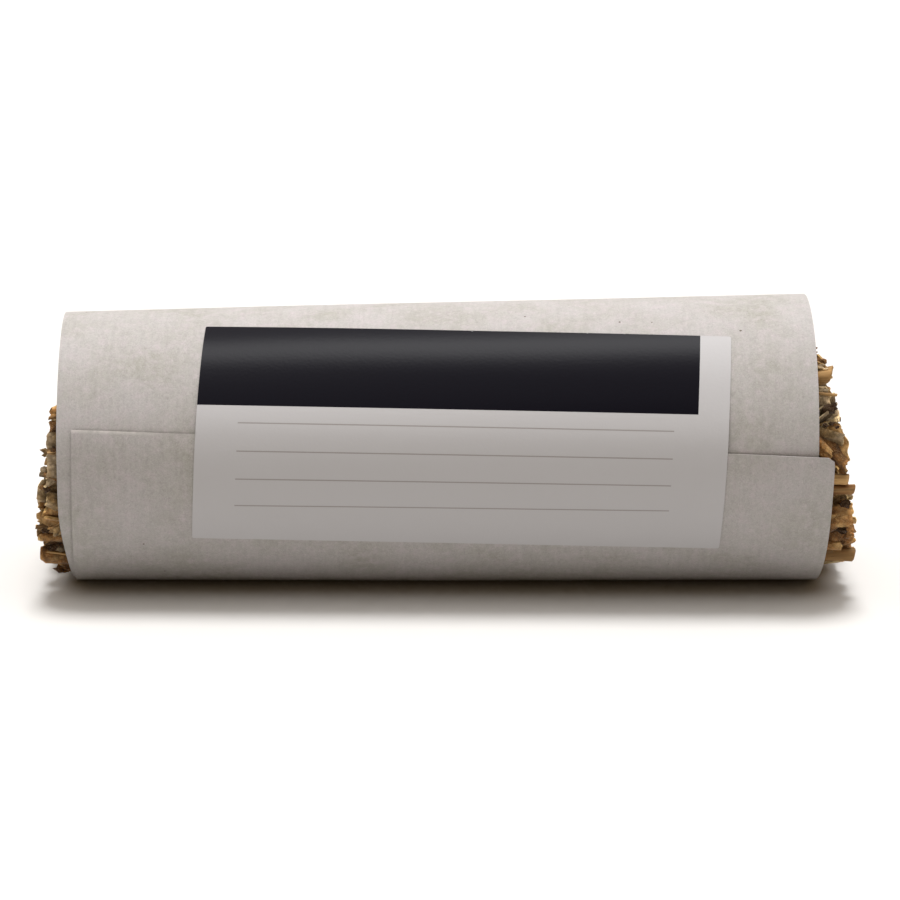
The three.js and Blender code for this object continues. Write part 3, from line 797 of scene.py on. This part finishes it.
def addScrap(scrap):
    # a curled scrap of blade between the sprigs or out at the paper
    f = scrapShape
    end, seed, steps = scrap["end"], scrap["seed"], f["columns"]
    line, headings = scrapOutline(scrap)
    middle = line[steps // 2]
    centre, limit = f["middles"][end], f["radii"][end]
    tones = []

    def rule(along, side):
        spot = (side + 1) / 2 * steps
        index = min(int(spot), steps - 1)
        y, z = (between(spot - index, a, b) - m for a, b, m in zip(line[index], line[index + 1], middle))
        arc = side * scrap["width"] / 2
        left = f["length"] * (1 - along) ** f["crowding"]
        torn = ripple(f["ragged"], arc, 0, seed) + ripple(f["fray"], arc, 0, seed)
        cut = scrap["cut"] + scrap["rough"] * torn + scrap["lean"] * arc
        creases, pebbles = relief(f, left, arc, seed)
        out = ripple(f["crumple"], left, arc, seed) + f["grit"] * pebbles
        out = (out + f["crease"] * (creases - leafShape["creaseMean"])) * scrap["rough"]
        out += scrap["curl"] * smoothStep(1 - left / f["curlLength"])
        y += scrap["y"] + scrap["drift"][0] * left - out * sin(headings[index])
        z += scrap["z"] + scrap["drift"][1] * left + out * cos(headings[index])
        away = hypot(y, z - centre)
        if away > limit:
            y, z = y * limit / away, centre + (z - centre) * limit / away
        cut = min(cut, reachAt(end, y, z) + ripple(f["unevenCut"], y, z, end * 5))
        hue = scrap["hue"] + ripple(f["hues"], left, arc, seed)
        # painted shade: darker the further a point lies in from the cut, deep in the bundle's end
        light = scrap["light"] * (1 - f["depthShade"] * smoothStep(left / f["depthShadeFrom"]))
        light *= 1 - f["hollowShade"] * max(-scrap["bend"], 0) * (1 - side * side)  # painted shade inside a hollow
        tones.extend(toneAt(f, hue, light, left, creases, pebbles, seed))
        return end * (cut - left), y, z

    return addBlade(f, rule, tones, 0)


def nearestSprig(end, y, z):
    def distance(sprig):
        x, sprigY, sprigZ = sprigPoint(sprig, end * nearEnd, 0, 0)
        return (y - sprigY) ** 2 + (z - sprigZ) ** 2 - sprig["share"] ** 2

    return sprigs.index(min(sprigs, key=distance))


def scatterScraps():
    # a list of scraps for each sprig, each scrap with the sprig that it lies nearest to
    draw = seededRandom(scrapShape["seed"])
    scattered = [[] for sprig in sprigs]
    for end in (-1, 1):
        centre, limit = scrapShape["middles"][end], scrapShape["radii"][end]
        for i in range(scrapShape["perEnd"]):
            turn = pi * (3 - sqrt(5)) * i + draw(-0.3, 0.3)  # spread as seeds in a flower
            radius = limit * sqrt((i + 0.5) / scrapShape["perEnd"])
            across, up = cos(turn), sin(turn)
            y, z = radius * across, centre + radius * up
            isOuter = radius > limit - scrapShape["skin"]
            wayIn, along = draw(0.05, 0.3), draw(-0.45, 0.45)
            scrap = {
                "end": end, "y": y, "z": z, "width": draw(*scrapShape["widths"]), "rough": 1,
                "facing": turn + pi / 2 + draw(-0.5, 0.5) if isOuter else draw(0, tau),
                "bend": draw(-1, 1) * scrapShape["bend"] * (0.6 if isOuter else 1),
                "fold": draw(-1, 1) * scrapShape["fold"] * (0.5 if isOuter else 1),
                "cut": reachAt(end, y, z) - draw(-0.1, 1.7), "lean": draw(-0.45, 0.45),
                "drift": (-wayIn * across - along * up, -wayIn * up + along * across),
                "curl": draw(-0.7, 0.7), "hue": draw(0, 1), "light": draw(0.65, 1.15),
                "seed": i + (200 if end > 0 else 0)}
            if y >= scrapShape["front"] - frontFace(end, z):
                scattered[nearestSprig(end, y, z)].append(scrap)
    return scattered


scraps = scatterScraps()


# Stems and twigs

stemShape = {
    "radius": 1.2, "taper": 0.25, "sides": 14, "furrows": 0.07, "unevenness": (0.16, 0.5, 1, 0),
    "knotEvery": 23, "knotSize": 0.16, "knotWidth": 1.6, "chamfer": 0.22, "bulge": 0.8,
    "pithShare": 0.55, "slopeShare": 0.6, "pithRim": 0.1, "pithDepth": 0.2, "spare": 3,
    "rowsPerLength": 0.45, "fewestRows": 8, "weld": 0.01, "twigRibs": 3, "twigEnd": (0.1, 0.3),
}


def addStem(sprig, stem):
    # a furrowed tube along the sprig, cut at both ends, with the pith showing
    f = stemShape
    seed, size = stem["seed"], stem["radius"] * mm

    def rule(along, side):
        x = between(along, stem["from"] - f["spare"], stem["to"] + f["spare"])
        angle = pi * side
        radius = stem["radius"] * (1 - f["taper"] * stem["forward"] * x / bundle["length"])
        radius *= 1 + f["furrows"] * cos(stem["ribs"] * angle + seed)
        radius *= 1 + ripple(f["unevenness"], x, cos(angle) * 1.5 + sin(angle), seed)
        knot = (x + seed * 5) / f["knotEvery"] % 1 - 0.5
        radius *= 1 + f["knotSize"] * exp(-(knot * f["knotEvery"] / f["knotWidth"]) ** 2)
        across, up = stem["place"](x)
        across += sprig["across"] + radius * cos(angle)
        return bundlePoint(x, across, up + sprig["up"] + radius * sin(angle))

    rows = round((stem["to"] - stem["from"]) * f["rowsPerLength"])
    piece = addGrid(max(f["fewestRows"], rows), f["sides"], rule)
    dress(piece, stemMaterial, pithMaterial)
    editAll(piece)
    bpy.ops.mesh.remove_doubles(threshold=f["weld"] * mm)
    leaveEditing()
    for end, x in ((-1, stem["from"]), (1, stem["to"])):
        across, up = stem["place"](x)
        middle = bundlePoint(x, sprig["across"] + across, sprig["up"] + up)
        normal = cutAcross(piece, middle, end, *stem["slants"][end])
        bpy.ops.mesh.inset(thickness=f["chamfer"] * size)
        bpy.ops.transform.translate(value=normal * f["chamfer"] * size * f["bulge"])
        bpy.ops.mesh.inset(thickness=(1 - f["pithShare"]) * size * f["slopeShare"])
        piece.active_material_index = 1
        bpy.ops.object.material_slot_assign()
        bpy.ops.mesh.inset(thickness=f["pithRim"] * size)
        bpy.ops.transform.translate(value=-normal * f["pithDepth"] * size)
        leaveEditing()
    paint(piece, stem["hue"], stem["light"], ownNumber(seed))
    editAll(piece)
    bpy.ops.mesh.normals_make_consistent(inside=False)
    leaveEditing()
    return piece


def addTwig(sprig, end, tip, angle, radius, size, slope, hue, light, seed, lean, length=11):
    # a leaf stalk or side twig that ends at tip; slope is how far it rises for its length
    spot = sprigPoint(sprig, tip, angle, radius)[1:]
    further, inside = stemShape["twigEnd"]
    tip = end * min(end * tip, reachAt(end, *spot) + further, bundle["length"] / 2 - inside)
    start, stop = sorted((tip, tip - end * length))

    def place(x):
        return radius * cos(angle), radius * sin(angle) + slope * end * (x - tip)

    return addStem(sprig, {
        "from": start, "to": stop, "radius": size, "forward": -end, "ribs": stemShape["twigRibs"],
        "place": place, "slants": {e: (lean, 0) for e in (-1, 1)},
        "hue": hue, "light": light, "seed": seed})


# Crumbs of dry leaf that lodge between the layers at the cut ends

crumbShape = {
    "count": 9, "sizes": (0.3, 0.75), "inside": 0.1, "stretch": Vector((1.5, 1, 1)),
    "bumps": (0.75, 0.9, 1.6),  # the middle size, and how high and how close the bumps are
}


def addCrumb(middle, size, seed, hue, light):
    bpy.ops.mesh.primitive_ico_sphere_add(subdivisions=2, radius=1)
    piece = bpy.context.object
    limit = bundle["length"] / 2 - crumbShape["inside"]
    base, high, close = crumbShape["bumps"]
    for vertex in piece.data.vertices:
        bumpy = size * (base + high * noise.noise(vertex.co * close + Vector((seed, 0, 0))))
        point = Vector(middle) + vertex.co * crumbShape["stretch"] * bumpy
        point.x = min(max(point.x, -limit), limit)
        vertex.co = point * mm
    paint(piece, hue, light, ownNumber(seed))
    dress(piece, leafMaterial, edgeMaterial)
    return piece


# Sage sprigs

usualLooks = ((0.3, 0.35), (0.9, 0.95), (0, 0))
sageLooks = {  # hues, lights and shifts of the cut, each for the left and the right end
    "sage_sprig_02": ((0.45, 0.3), (0.8, 0.85), (0, 0)),
    "sage_sprig_07": ((0.6, 0.55), (0.85, 0.9), (0, 0)),
    "sage_sprig_08": ((0.5, 0.12), (0.85, 0.8), (-0.4, -0.3)),
    "sage_sprig_09": ((0.3, 0.6), (0.85, 0.9), (-0.5, -0.3)),
    "sage_sprig_10": ((0.65, 0.7), (0.9, 0.95), (0, -0.2)),
    "sage_sprig_11": ((0.65, 0.6), (0.9, 0.9), (0, 0)),
}
leafLayers = [  # form, share of the cell, span in radians, turn off the first leaf
    ("wrap", 0.99, 2.5, 0.0),
    ("pleat", 1.0, 2.7, 3.0),
    ("wrap", 0.86, 2.3, 1.6),
    ("pleat", 0.8, 3.2, 4.3),
    ("fold", 0.8, 1.3, 2.4),
    ("scroll", 0.68, 4.6, 5.4),
    ("fold", 0.56, 1.5, 0.9),
]
twigsPerEnd = 3


def sageSprig(name, sprig, index):
    draw = seededRandom(bundle["sprigSeed"] + bundle["seedStep"] * index)
    forward = 1 if draw(0, 1) < 0.6 else -1
    turn = draw(0, tau)
    inner = 0.86 if name in endDetails else 1  # leaves room for the pieces placed by name
    pieces = []
    looks = sageLooks.get(name, usualLooks)
    for end, cut, hue, light, shift in zip((-1, 1), cutPlaces(sprig, 0), *looks):
        for layer, (form, share, span, off) in enumerate(leafLayers):
            pieces.append(addLeaf(sprig, {
                "end": end, "form": form, "share": share * inner, "span": span * draw(0.85, 1.15),
                "turn": turn + end * pi / 4 + off + draw(-0.4, 0.4), "shift": draw(-1, 1),
                "cut": cut + shift + end * draw(-1.4, 0.2), "lean": draw(-0.9, 0.9),
                "swing": draw(-0.9, 0.9), "inner": stemShape["radius"] + 0.4,
                "hue": hue + draw(-0.25, 0.25), "light": light * draw(0.75, 1.15),
                "curl": draw(-0.9, 0.6), "twist": draw(-0.12, 0.12),
                "seed": index * 14 + layer + (7 if end > 0 else 0)}))
        for crumb in range(crumbShape["count"]):
            angle, depth = draw(0, tau), draw(0.3, 2.2)
            radius = cellReach(sprig, angle) * draw(0.45, 0.9)
            pieces.append(addCrumb(
                sprigPoint(sprig, cut + shift - end * depth, angle, radius), draw(*crumbShape["sizes"]),
                index * 9 + crumb, draw(0.1, 1), light * draw(0.5, 1)))
        for twig in range(twigsPerEnd):
            angle, share = draw(0, tau), draw(0.45, 0.78)
            tip = cut + shift + end * draw(-0.6, 0.8)
            pieces.append(addTwig(
                sprig, end, tip, angle, share * cellReach(sprig, angle), draw(0.25, 0.55),
                draw(-0.12, 0.12), draw(0.2, 0.8), light * draw(0.7, 1.1), index * 5 + twig + 0.5,
                draw(-0.4, 0.4)))
    pieces.extend(endPieces(name, sprig, index, len(pieces)))
    left, right = cutPlaces(sprig, 0)
    pieces.append(addStem(sprig, {
        "from": left + draw(0.3, 1.8), "to": right - draw(0.3, 1.8), "forward": forward, "ribs": 6,
        "radius": stemShape["radius"] * draw(0.6, 1), "place": lambda x: (0, 0),
        "slants": {e: (draw(-0.5, 0.5), draw(-0.3, 0.3)) for e in (-1, 1)},
        "hue": draw(0.4, 0.7), "light": draw(0.8, 1), "seed": index + 0.25}))
    return joinPieces(pieces, name.replace("sage_sprig", "sage_stalk"))


# Scraps, twigs and crumbs at the front of the two ends, from the top down. Heights are above the
# table and cuts from the middle of the length. depth is how far behind the front a piece lies, tilt how
# much it rises towards its tip, bend how round it is (hollow below 0) and lean how far its foot sticks
# out. Very dark crumbs are painted shade: dark blobs put in place of shaded hollows. A short row has
# the usual numbers at its end.

detailNames = [
    "kind", "end", "size", "height", "cut", "hue", "light", "depth", "tilt", "bend", "rough", "lean"]
usualDetail = {"depth": 0.1, "tilt": 0, "bend": 0, "rough": 1, "lean": 0, "fold": 0, "curl": 0}
detailShape = {"scrapDepth": 0.2, "wayIn": 0.15, "twigLean": 0.25, "twigLength": 4.5}

endDetails = {
    "lavender_sprig_2": [
        ("scrap", 1, 1.4, 29.5, 45.7, 1, 0.8, 0.1, 0, 1.2, 0.8),
        ("scrap", 1, 1.5, 28.8, 45.7, 0, 1.2, 0.5, 0, -1),
        ("scrap", 1, 1.5, 28.4, 46.4, 0.25, 0.8, 0.7, -0.6, 0.9),
        ("twig", 1, 0.9, 28.1, 46.1, 0.3, 1.05, 0.1, 0.25),
        ("scrap", 1, 1.4, 26.5, 46.1, 0.2, 0.7, 0.4, 0, 0.9),
        ("twig", 1, 0.16, 26.2, 46.8, 0.5, 1, -0.1, -0.05),
    ],
    "lavender_sprig_3": [
        ("crumb", -1, 0.55, 2, 48.2, 0.95, 0.75),
        ("crumb", -1, 0.5, 1.7, 47.4, 0.8, 0.65),
        ("crumb", -1, 0.45, 2.2, 46.9, 0.9, 0.85),
        ("crumb", -1, 0.4, 1.7, 46.5, 0.7, 0.7),
        ("scrap", 1, 2.6, 4, 48.6, 0.7, 0.9, 1.2, 0, 0.8),
    ],
    "sage_sprig_08": [
        ("scrap", -1, 2, 24.3, 47.4, 0.75, 1, 0.1, 0, 1.2, 0.9, 0.25),
        ("twig", -1, 0.2, 23.3, 47.6, 0.9, 0.9, 0.1, -0.3),
        ("scrap", -1, 1.3, 22.4, 47.5, 0.95, 0.8, 0.1, 0, 0.8, 0.6),
        ("scrap", -1, 2.3, 21, 47.9, 0.1, 0.68, 0.1, 0.3, 0.6, 0.35, 0.4),
        ("crumb", 1, 0.85, 24.7, 46.9, 1.2, 0.35, -0.5),
        ("crumb", 1, 0.3, 22.9, 45.6, 1.2, 0.4, -0.2),
        ("crumb", 1, 0.3, 23.1, 46.4, 1.2, 0.4, -0.2),
        ("crumb", 1, 0.25, 22.7, 47, 1.2, 0.45, -0.2),
        ("crumb", -1, 0.4, 19.6, 47.3, 0.8, 0.9, 0.3),
        ("crumb", -1, 0.35, 19.4, 46.7, 1, 0.7, 0.2),
        ("scrap", 1, 2.6, 25.6, 45.9, 0, 1.35, 0.1, -0.3, 0.7, 0.5),
        ("scrap", 1, 4.6, 24.4, 46.7, 0, 0.95, 1.5, 1, -2.1, 0.4),
        ("scrap", 1, 1.9, 24.1, 47.3, 0, 1.6, 0.5, -1.1, 0.8, 0.5),
        ("scrap", 1, 2.6, 22.8, 46.7, 0.05, 1.15, 0.9, 0.5, -1.9, 0.9),
        ("scrap", 1, 3.3, 20.7, 47.5, 0.2, 0.7, 0.2, -0.3, 0.3, 0.3),
        ("scrap", 1, 4.6, 20.8, 48.4, 0.5, 0.98, 0.8, -0.2, 0.3, 0.4, 0.13),
        ("scrap", 1, 2.2, 19.2, 46.2, 0.7, 1, -0.1, -0.9, 1.1, 0.6),
    ],
    "sage_sprig_09": [
        ("scrap", -1, 3, 17.9, 47.9, 0.05, 0.66, 0.1, 0.35, 0.9, 0.5),
        ("twig", -1, 0.4, 18.1, 48.6, 0.7, 0.8, 0.9),
        ("twig", -1, 0.22, 16.8, 48.5, 0.9, 0.85, 0.1, 0.4),
        ("scrap", -1, 1.7, 15.6, 47.9, 0, 1.05, -0.1, -0.6, 0.8, 0.7),
        ("scrap", -1, 4.9, 13.8, 49.2, 0.15, 0.9, 1.1, 0.05, 0.4, 0.3),
        ("scrap", -1, 2.1, 13.5, 48, 0.08, 0.95, 0.1, 0.4, 0.9, 0.6),
        ("scrap", 1, 2.4, 18.1, 48, 0.95, 0.9, 0.1, -1.1, 1.2),
        ("crumb", -1, 0.35, 14.9, 48.2, 1.2, 0.4, -0.3),
        ("twig", 1, 0.62, 16.2, 48.1, 0.45, 1.15),
        ("twig", 1, 0.58, 15, 49, 0.85, 0.95, 0.1, 0.03),
        ("crumb", 1, 0.55, 13.2, 48.5, 1.2, 0.4, -0.4),
    ],
    "sage_sprig_10": [
        ("scrap", -1, 4.2, 11.5, 48.3, 0.5, 1.1, 1.2, 0.3, -2.4, 0.8),
        ("scrap", -1, 2.4, 11.5, 48.2, 0.5, 1.15, 0.4, -0.5, 1.6, 1.3),
        ("scrap", -1, 2.6, 10.1, 49.1, 0.35, 0.95, 1, 0, 1, 1.8),
        ("twig", -1, 0.2, 9.6, 49.6, 0.9, 0.6, 0.5, -0.2),
        ("twig", -1, 0.15, 9.7, 48, 0.3, 1.25, -0.2, -0.5),
        ("scrap", -1, 1.4, 9.1, 47.4, 0.1, 1.05, 0.1, -0.5, 1),
        ("scrap", -1, 2.3, 7.9, 49.2, 0.7, 0.9, 0.1, 0.1, 0.9, 0.8),
        ("crumb", -1, 0.4, 9.3, 48.8, 1.2, 0.4, -0.2),
        ("crumb", -1, 0.55, 6.6, 48.4, 1.1, 0.4, -0.1),
        ("crumb", -1, 0.5, 6.4, 47.2, 0.2, 0.4, -0.1),
        ("twig", -1, 0.16, 6, 48.5, 0.3, 1, 0.1, 0.12),
        ("twig", -1, 0.6, 4.5, 48.7, 0.8, 0.8, 0.5, 0.05),
        ("scrap", -1, 2.5, 4.9, 49.4, 0.8, 0.85, 0.1, 0, 1.5, 0.45),
        ("crumb", 1, 0.6, 9.6, 48.4, 1.2, 0.4, -0.3),
        ("scrap", 1, 2.6, 12, 48.9, 0.7, 1.15, 0.1, 0.25, 1, 0.8),
        ("scrap", 1, 2.4, 10.4, 49.5, 0.5, 1.4, 0.5, -0.15, 1.2, 0.7),
        ("scrap", 1, 2, 10.7, 47.6, 0.75, 0.9, 0.1, 0.2, 0.9),
        ("scrap", 1, 2.4, 8.2, 49.8, 0.75, 1.05, 1, 0, 1, 1.8),
        ("crumb", 1, 0.5, 8.6, 48.9, 0.9, 0.8, 0.4),
        ("scrap", 1, 1.2, 7.1, 48, 0.65, 1.05, 0.1, 0, 0.8, 0.4),
        ("twig", 1, 0.15, 6.3, 47, 0.3, 1.3),
        ("twig", 1, 0.7, 5.4, 49.7, 0.85, 0.95),
    ],
}


def addDetail(sprig, row, seed):
    detail = {**usualDetail, **dict(zip(detailNames, row))}
    kind, end, size, height, cut, hue, light, depth, tilt = (detail[name] for name in detailNames[:9])
    y = (detailShape["scrapDepth"] if kind == "scrap" else size) + depth - frontFace(end, height)
    if kind == "scrap":
        turn = atan2(height - scrapShape["middles"][end], y)
        drift = detailShape["wayIn"] - tilt * sin(turn), tilt * cos(turn)
        return addScrap({
            **detail, "y": y, "z": height, "width": size, "facing": turn + pi / 2, "drift": drift,
            "seed": seed + 500})
    # a crumb; a very dark one is painted shade, put in place of a shaded hollow
    if kind == "crumb":
        return addCrumb((end * (cut - size), y, height), size, seed, hue, light)
    twist = radians(bundle["twist"]) * end * cut / bundle["length"]
    out, up = y / bundle["widening"], height - bundle["height"]
    across = out * cos(twist) + up * sin(twist) - sprig["across"]
    up = up * cos(twist) - out * sin(twist) - sprig["up"]
    return addTwig(
        sprig, end, end * cut, atan2(up, across), hypot(across, up), size, tilt, hue, light,
        seed + 0.3, detailShape["twigLean"], detailShape["twigLength"])


def endPieces(name, sprig, index, count):
    # the pieces placed by name, and then the scattered scraps; count pieces were there before
    rows = endDetails.get(name, [])
    placed = [addDetail(sprig, row, index * 17 + count + i) for i, row in enumerate(rows)]
    return placed + [addScrap(scrap) for scrap in scraps[index]]


# Lavender sprigs

budShape = {
    "length": 5.2, "radius": 1.05, "rows": 6, "sides": 10, "ribs": (0.09, 5), "foot": 0.25,
    "profile": (0.35, 0.7, 0.95, 1.0, 0.92, 0.75, 0.4), "lean": 0.3, "perWhorl": 6, "whorls": 5,
    "headEnd": 3.2, "headLength": 27, "stem": 0.75, "leaves": 4, "weld": 0.005,
    "footOut": 0.5, "footBack": 0.8,  # a bud's foot: off the stem, and in bud lengths from its tip
}


def budModel():
    # one ribbed bud, its foot at the origin and its tip along +X
    def rule(along, side):
        angle = pi * side
        profile = budShape["profile"][round(along * budShape["rows"])]
        ribHeight, ribs = budShape["ribs"]
        radius = budShape["radius"] * profile * (1 + ribHeight * cos(ribs * angle))
        return budShape["length"] * along, radius * cos(angle), radius * sin(angle)

    piece = addGrid(budShape["rows"], budShape["sides"], rule)
    editAll(piece)
    bpy.ops.mesh.remove_doubles(threshold=budShape["weld"] * mm)
    bpy.ops.mesh.select_all(action="DESELECT")
    bpy.ops.mesh.select_non_manifold()
    bpy.ops.mesh.edge_face_add()
    bpy.ops.mesh.inset(thickness=budShape["foot"] * mm)
    bpy.ops.mesh.select_all(action="SELECT")
    bpy.ops.mesh.normals_make_consistent(inside=False)
    leaveEditing()
    dress(piece, budMaterial)
    return piece


def addBud(model, sprig, x, turn, forward, draw):
    piece = model.copy()
    piece.data = model.data.copy()
    bpy.context.collection.objects.link(piece)
    lean = budShape["lean"] * draw(0.6, 1.3)
    size = draw(0.8, 1.0)
    half = bundle["length"] / 2
    for vertex in piece.data.vertices:
        local = vertex.co / mm * size
        along = forward * (local.x * cos(lean) - local.z * sin(lean))
        out = local.x * sin(lean) + local.z * cos(lean) + budShape["footOut"]
        angle = turn + atan2(local.y, out)
        radius = min(hypot(local.y, out), cellReach(sprig, angle))
        vertex.co = Vector(sprigPoint(sprig, min(max(x + along, -half), half), angle, radius)) * mm
    paint(piece, draw(0, 1), draw(0.7, 1.1), draw(0, 1))
    return piece


def lavenderSprig(name, sprig, index, model):
    draw = seededRandom(bundle["sprigSeed"] + bundle["seedStep"] * index)
    forward = 1 if draw(0, 1) < 0.5 else -1
    pieces = []
    left, right = cutPlaces(sprig, -0.6)
    tip = right if forward > 0 else left
    for whorl in range(budShape["whorls"]):
        for i in range(budShape["perWhorl"]):
            back = budShape["headEnd"] + budShape["length"] * budShape["footBack"]
            back += budShape["headLength"] * whorl / budShape["whorls"]
            x = tip - forward * (back + draw(-0.8, 0.8))
            turn = tau * (i + whorl / 2) / budShape["perWhorl"] + draw(-0.25, 0.25)
            pieces.append(addBud(model, sprig, x, turn, forward, draw))
    turn = draw(0, tau)
    cut = left if forward > 0 else right
    for layer in range(budShape["leaves"]):
        pieces.append(addLeaf(sprig, {
            "end": -forward, "form": ("wrap", "fold")[layer % 2], "share": 0.95 - 0.12 * layer,
            "span": 1.9, "turn": turn + layer * pi / 2, "shift": draw(-1, 1),
            "cut": cut + forward * draw(-0.3, 1.2), "lean": draw(-0.5, 0.5),
            "swing": draw(-0.5, 0.5), "inner": budShape["stem"] + 0.3,
            "hue": draw(0.5, 0.95), "light": draw(0.7, 0.95), "curl": draw(-0.5, 0.4), "twist": 0,
            "seed": index * 14 + layer}))
    pieces.extend(endPieces(name, sprig, index, len(pieces)))
    pieces.append(addStem(sprig, {
        "from": left, "to": right, "radius": budShape["stem"], "forward": forward, "ribs": 4,
        "place": lambda x: (0, 0), "slants": {e: (draw(-0.3, 0.3), 0) for e in (-1, 1)},
        "hue": 0.3, "light": 0.85, "seed": index + 0.25}))
    return joinPieces(pieces, name.replace("lavender_sprig", "lavender_stalk"))


counts = {"sage": 0, "lavender": 0}
budTemplate = budModel()
for index, sprig in enumerate(sprigs):
    plant = "lavender" if sprig["lavender"] else "sage"
    counts[plant] += 1
    if plant == "lavender":
        node = f"lavender_sprig_{counts[plant]}"
        piece = lavenderSprig(node, sprig, index, budTemplate)
    else:
        node = f"sage_sprig_{counts[plant]:02d}"
        piece = sageSprig(node, sprig, index)
    finishPiece(piece, node)
    smoothFaces(piece, bundle["sharpest"])
    print(node, len(piece.data.polygons), "faces")
bpy.data.objects.remove(budTemplate)


# The cotton thread: three strands, twisted

cord = {"radius": 0.45, "clearance": 0.3, "end": 34, "turns": 3, "crossingLift": 1, "crossingPower": 8,
        "tail": 36, "tailSpacing": 1.4, "strandOffset": 0.22, "strandRadius": 0.235, "pitch": 3.2,
        "pointsPerPitch": 6, "knotRadius": 1.35, "knotTube": 0.42, "knotSteps": 60, "lengthSteps": 2000}


def outsidePoint(x, angle, lift):
    radius = bundle["radius"] + (cord["clearance"] + cord["radius"] + lift) / squeeze(x)
    twist = radians(bundle["twist"]) * x / bundle["length"]
    turned = pi - angle - twist
    return Vector(bundlePoint(x, radius * cos(turned), radius * sin(turned)))


def threadPoint(share):
    top = pi / 2
    tail = radians(cord["tail"])
    helix = tau * cord["turns"]
    angle = between(share, top - tau - tail, 2 * helix + top + tail)
    fromMiddle = abs(min(max(angle, 0), 2 * helix) - helix) / helix
    apart = smoothStep(angle, 2 * helix, 2 * helix + top) * cord["tailSpacing"]
    x = cord["end"] * (1 - 2 * fromMiddle) + apart
    over = cord["crossingLift"] * cos(angle) ** cord["crossingPower"] if angle > helix + top else 0
    return outsidePoint(x, angle, over)


def strandCurve(points, radius):
    data = bpy.data.curves.new("strand", "CURVE")
    data.dimensions = "3D"
    data.bevel_depth = radius * mm
    data.bevel_resolution = 1
    data.use_fill_caps = True
    line = data.splines.new("POLY")
    line.points.add(len(points) - 1)
    for target, point in zip(line.points, points):
        target.co = (*(point * mm), 1)
    strand = bpy.data.objects.new("strand", data)
    bpy.context.collection.objects.link(strand)
    useOnly(strand)
    bpy.ops.object.convert(target="MESH")
    return bpy.context.object


def pliedThread(route, count, length):
    # strands wound round the route, each a third of a turn behind the one before
    pieces = []
    steps = [route(i / count) for i in range(count + 1)]
    for strand in range(3):
        points = []
        for i, middle in enumerate(steps):
            ahead = steps[min(i + 1, count)] - steps[max(i - 1, 0)]
            outward = Vector((0, middle.y, middle.z - bundle["height"])).normalized()
            sideways = ahead.normalized().cross(outward).normalized()
            phase = tau * (i / count * length / cord["pitch"] + strand / 3)
            offset = outward * cos(phase) + sideways * sin(phase)
            points.append(middle + offset * cord["strandOffset"])
        pieces.append(strandCurve(points, cord["strandRadius"]))
    return pieces


coarse = [threadPoint(i / cord["lengthSteps"]) for i in range(cord["lengthSteps"] + 1)]
wholeLength = sum((after - before).length for before, after in zip(coarse, coarse[1:]))
steps = round(wholeLength / cord["pitch"] * cord["pointsPerPitch"])
threadPieces = pliedThread(threadPoint, steps, wholeLength)
knotMiddle = outsidePoint(-cord["end"] + cord["tailSpacing"] / 2, pi / 2, cord["knotRadius"] / 2)


def knotPoint(share):
    # an overhand knot: twice round, while it goes in and out three times
    turn = 2 * tau * share
    radius = cord["knotRadius"] * (2 + cos(1.5 * turn)) * 0.5
    up = cord["knotRadius"] * sin(1.5 * turn) * 0.5
    return knotMiddle + Vector((radius * cos(turn), radius * sin(turn), up))


knotPoints = [knotPoint(i / cord["knotSteps"]) for i in range(cord["knotSteps"] + 1)]
threadPieces.append(strandCurve(knotPoints, cord["knotTube"]))
threadPiece = joinPieces(threadPieces, "bound_thread")
dress(threadPiece, cottonMaterial)
useOnly(threadPiece)
bpy.ops.object.shade_smooth()
finishPiece(threadPiece, "binding_thread")
print("thread wound", round(wholeLength), "mm")


# Floor, light and camera

studio = {
    "floorSize": 12.0, "floorColour": "#cfcecd", "skyColour": "#ffffff", "fillColour": "#ffd9a0",
    "fillStrength": 0.17,
    "suns": [(2.95, 22, 7), (2.5, 100, 8)],  # strength, angle across and tilt from the back
    "distance": 480, "elevation": 15, "targetX": 0.5, "targetZ": 15.7, "lens": 155.1,
}

bpy.ops.mesh.primitive_plane_add(size=studio["floorSize"])
floor = bpy.context.object
floor.name = "floor"
floorMaterial, floorTree = newMaterial("white studio floor")
floorShader = floorTree.nodes["Principled BSDF"]
floorShader.inputs["Base Color"].default_value = linearColour(studio["floorColour"])
floorShader.inputs["Roughness"].default_value = 1.0
floorShader.inputs["Specular IOR Level"].default_value = 0.0
dress(floor, floorMaterial)

for strength, angle, fromBack in studio["suns"]:  # a soft light overhead, and the white room round it
    bpy.ops.object.light_add(type="SUN", rotation=(-radians(fromBack), 0, 0))
    sun = bpy.context.object
    sun.data.energy = strength
    sun.data.angle = radians(angle)

world = bpy.data.worlds.new("studio")
world.use_nodes = True
bpy.context.scene.world = world
background = world.node_tree.nodes["Background"]
background.inputs["Color"].default_value = linearColour(studio["fillColour"])
background.inputs["Strength"].default_value = studio["fillStrength"]
white = addNode(world.node_tree, "Background", {
    "Color": linearColour(studio["skyColour"]), "Strength": 1.0})
seen = addNode(world.node_tree, "LightPath")
either = addNode(world.node_tree, "MixShader", {
    0: seen.outputs["Is Camera Ray"], 1: background.outputs[0], 2: white.outputs[0]})
world.node_tree.links.new(either.outputs[0], world.node_tree.nodes["World Output"].inputs["Surface"])

elevation = radians(studio["elevation"])
back = studio["distance"] * cos(elevation)
height = studio["targetZ"] + studio["distance"] * sin(elevation)
bpy.ops.object.camera_add(
    location=(studio["targetX"] * mm, -back * mm, height * mm), rotation=(pi / 2 - elevation, 0, 0))
camera = bpy.context.object
camera.data.lens = studio["lens"]
camera.data.sensor_width = 36
camera.data.clip_start = 0.01
bpy.context.scene.camera = camera
bpy.context.scene.view_settings.view_transform = "Standard"
print("studio ready")
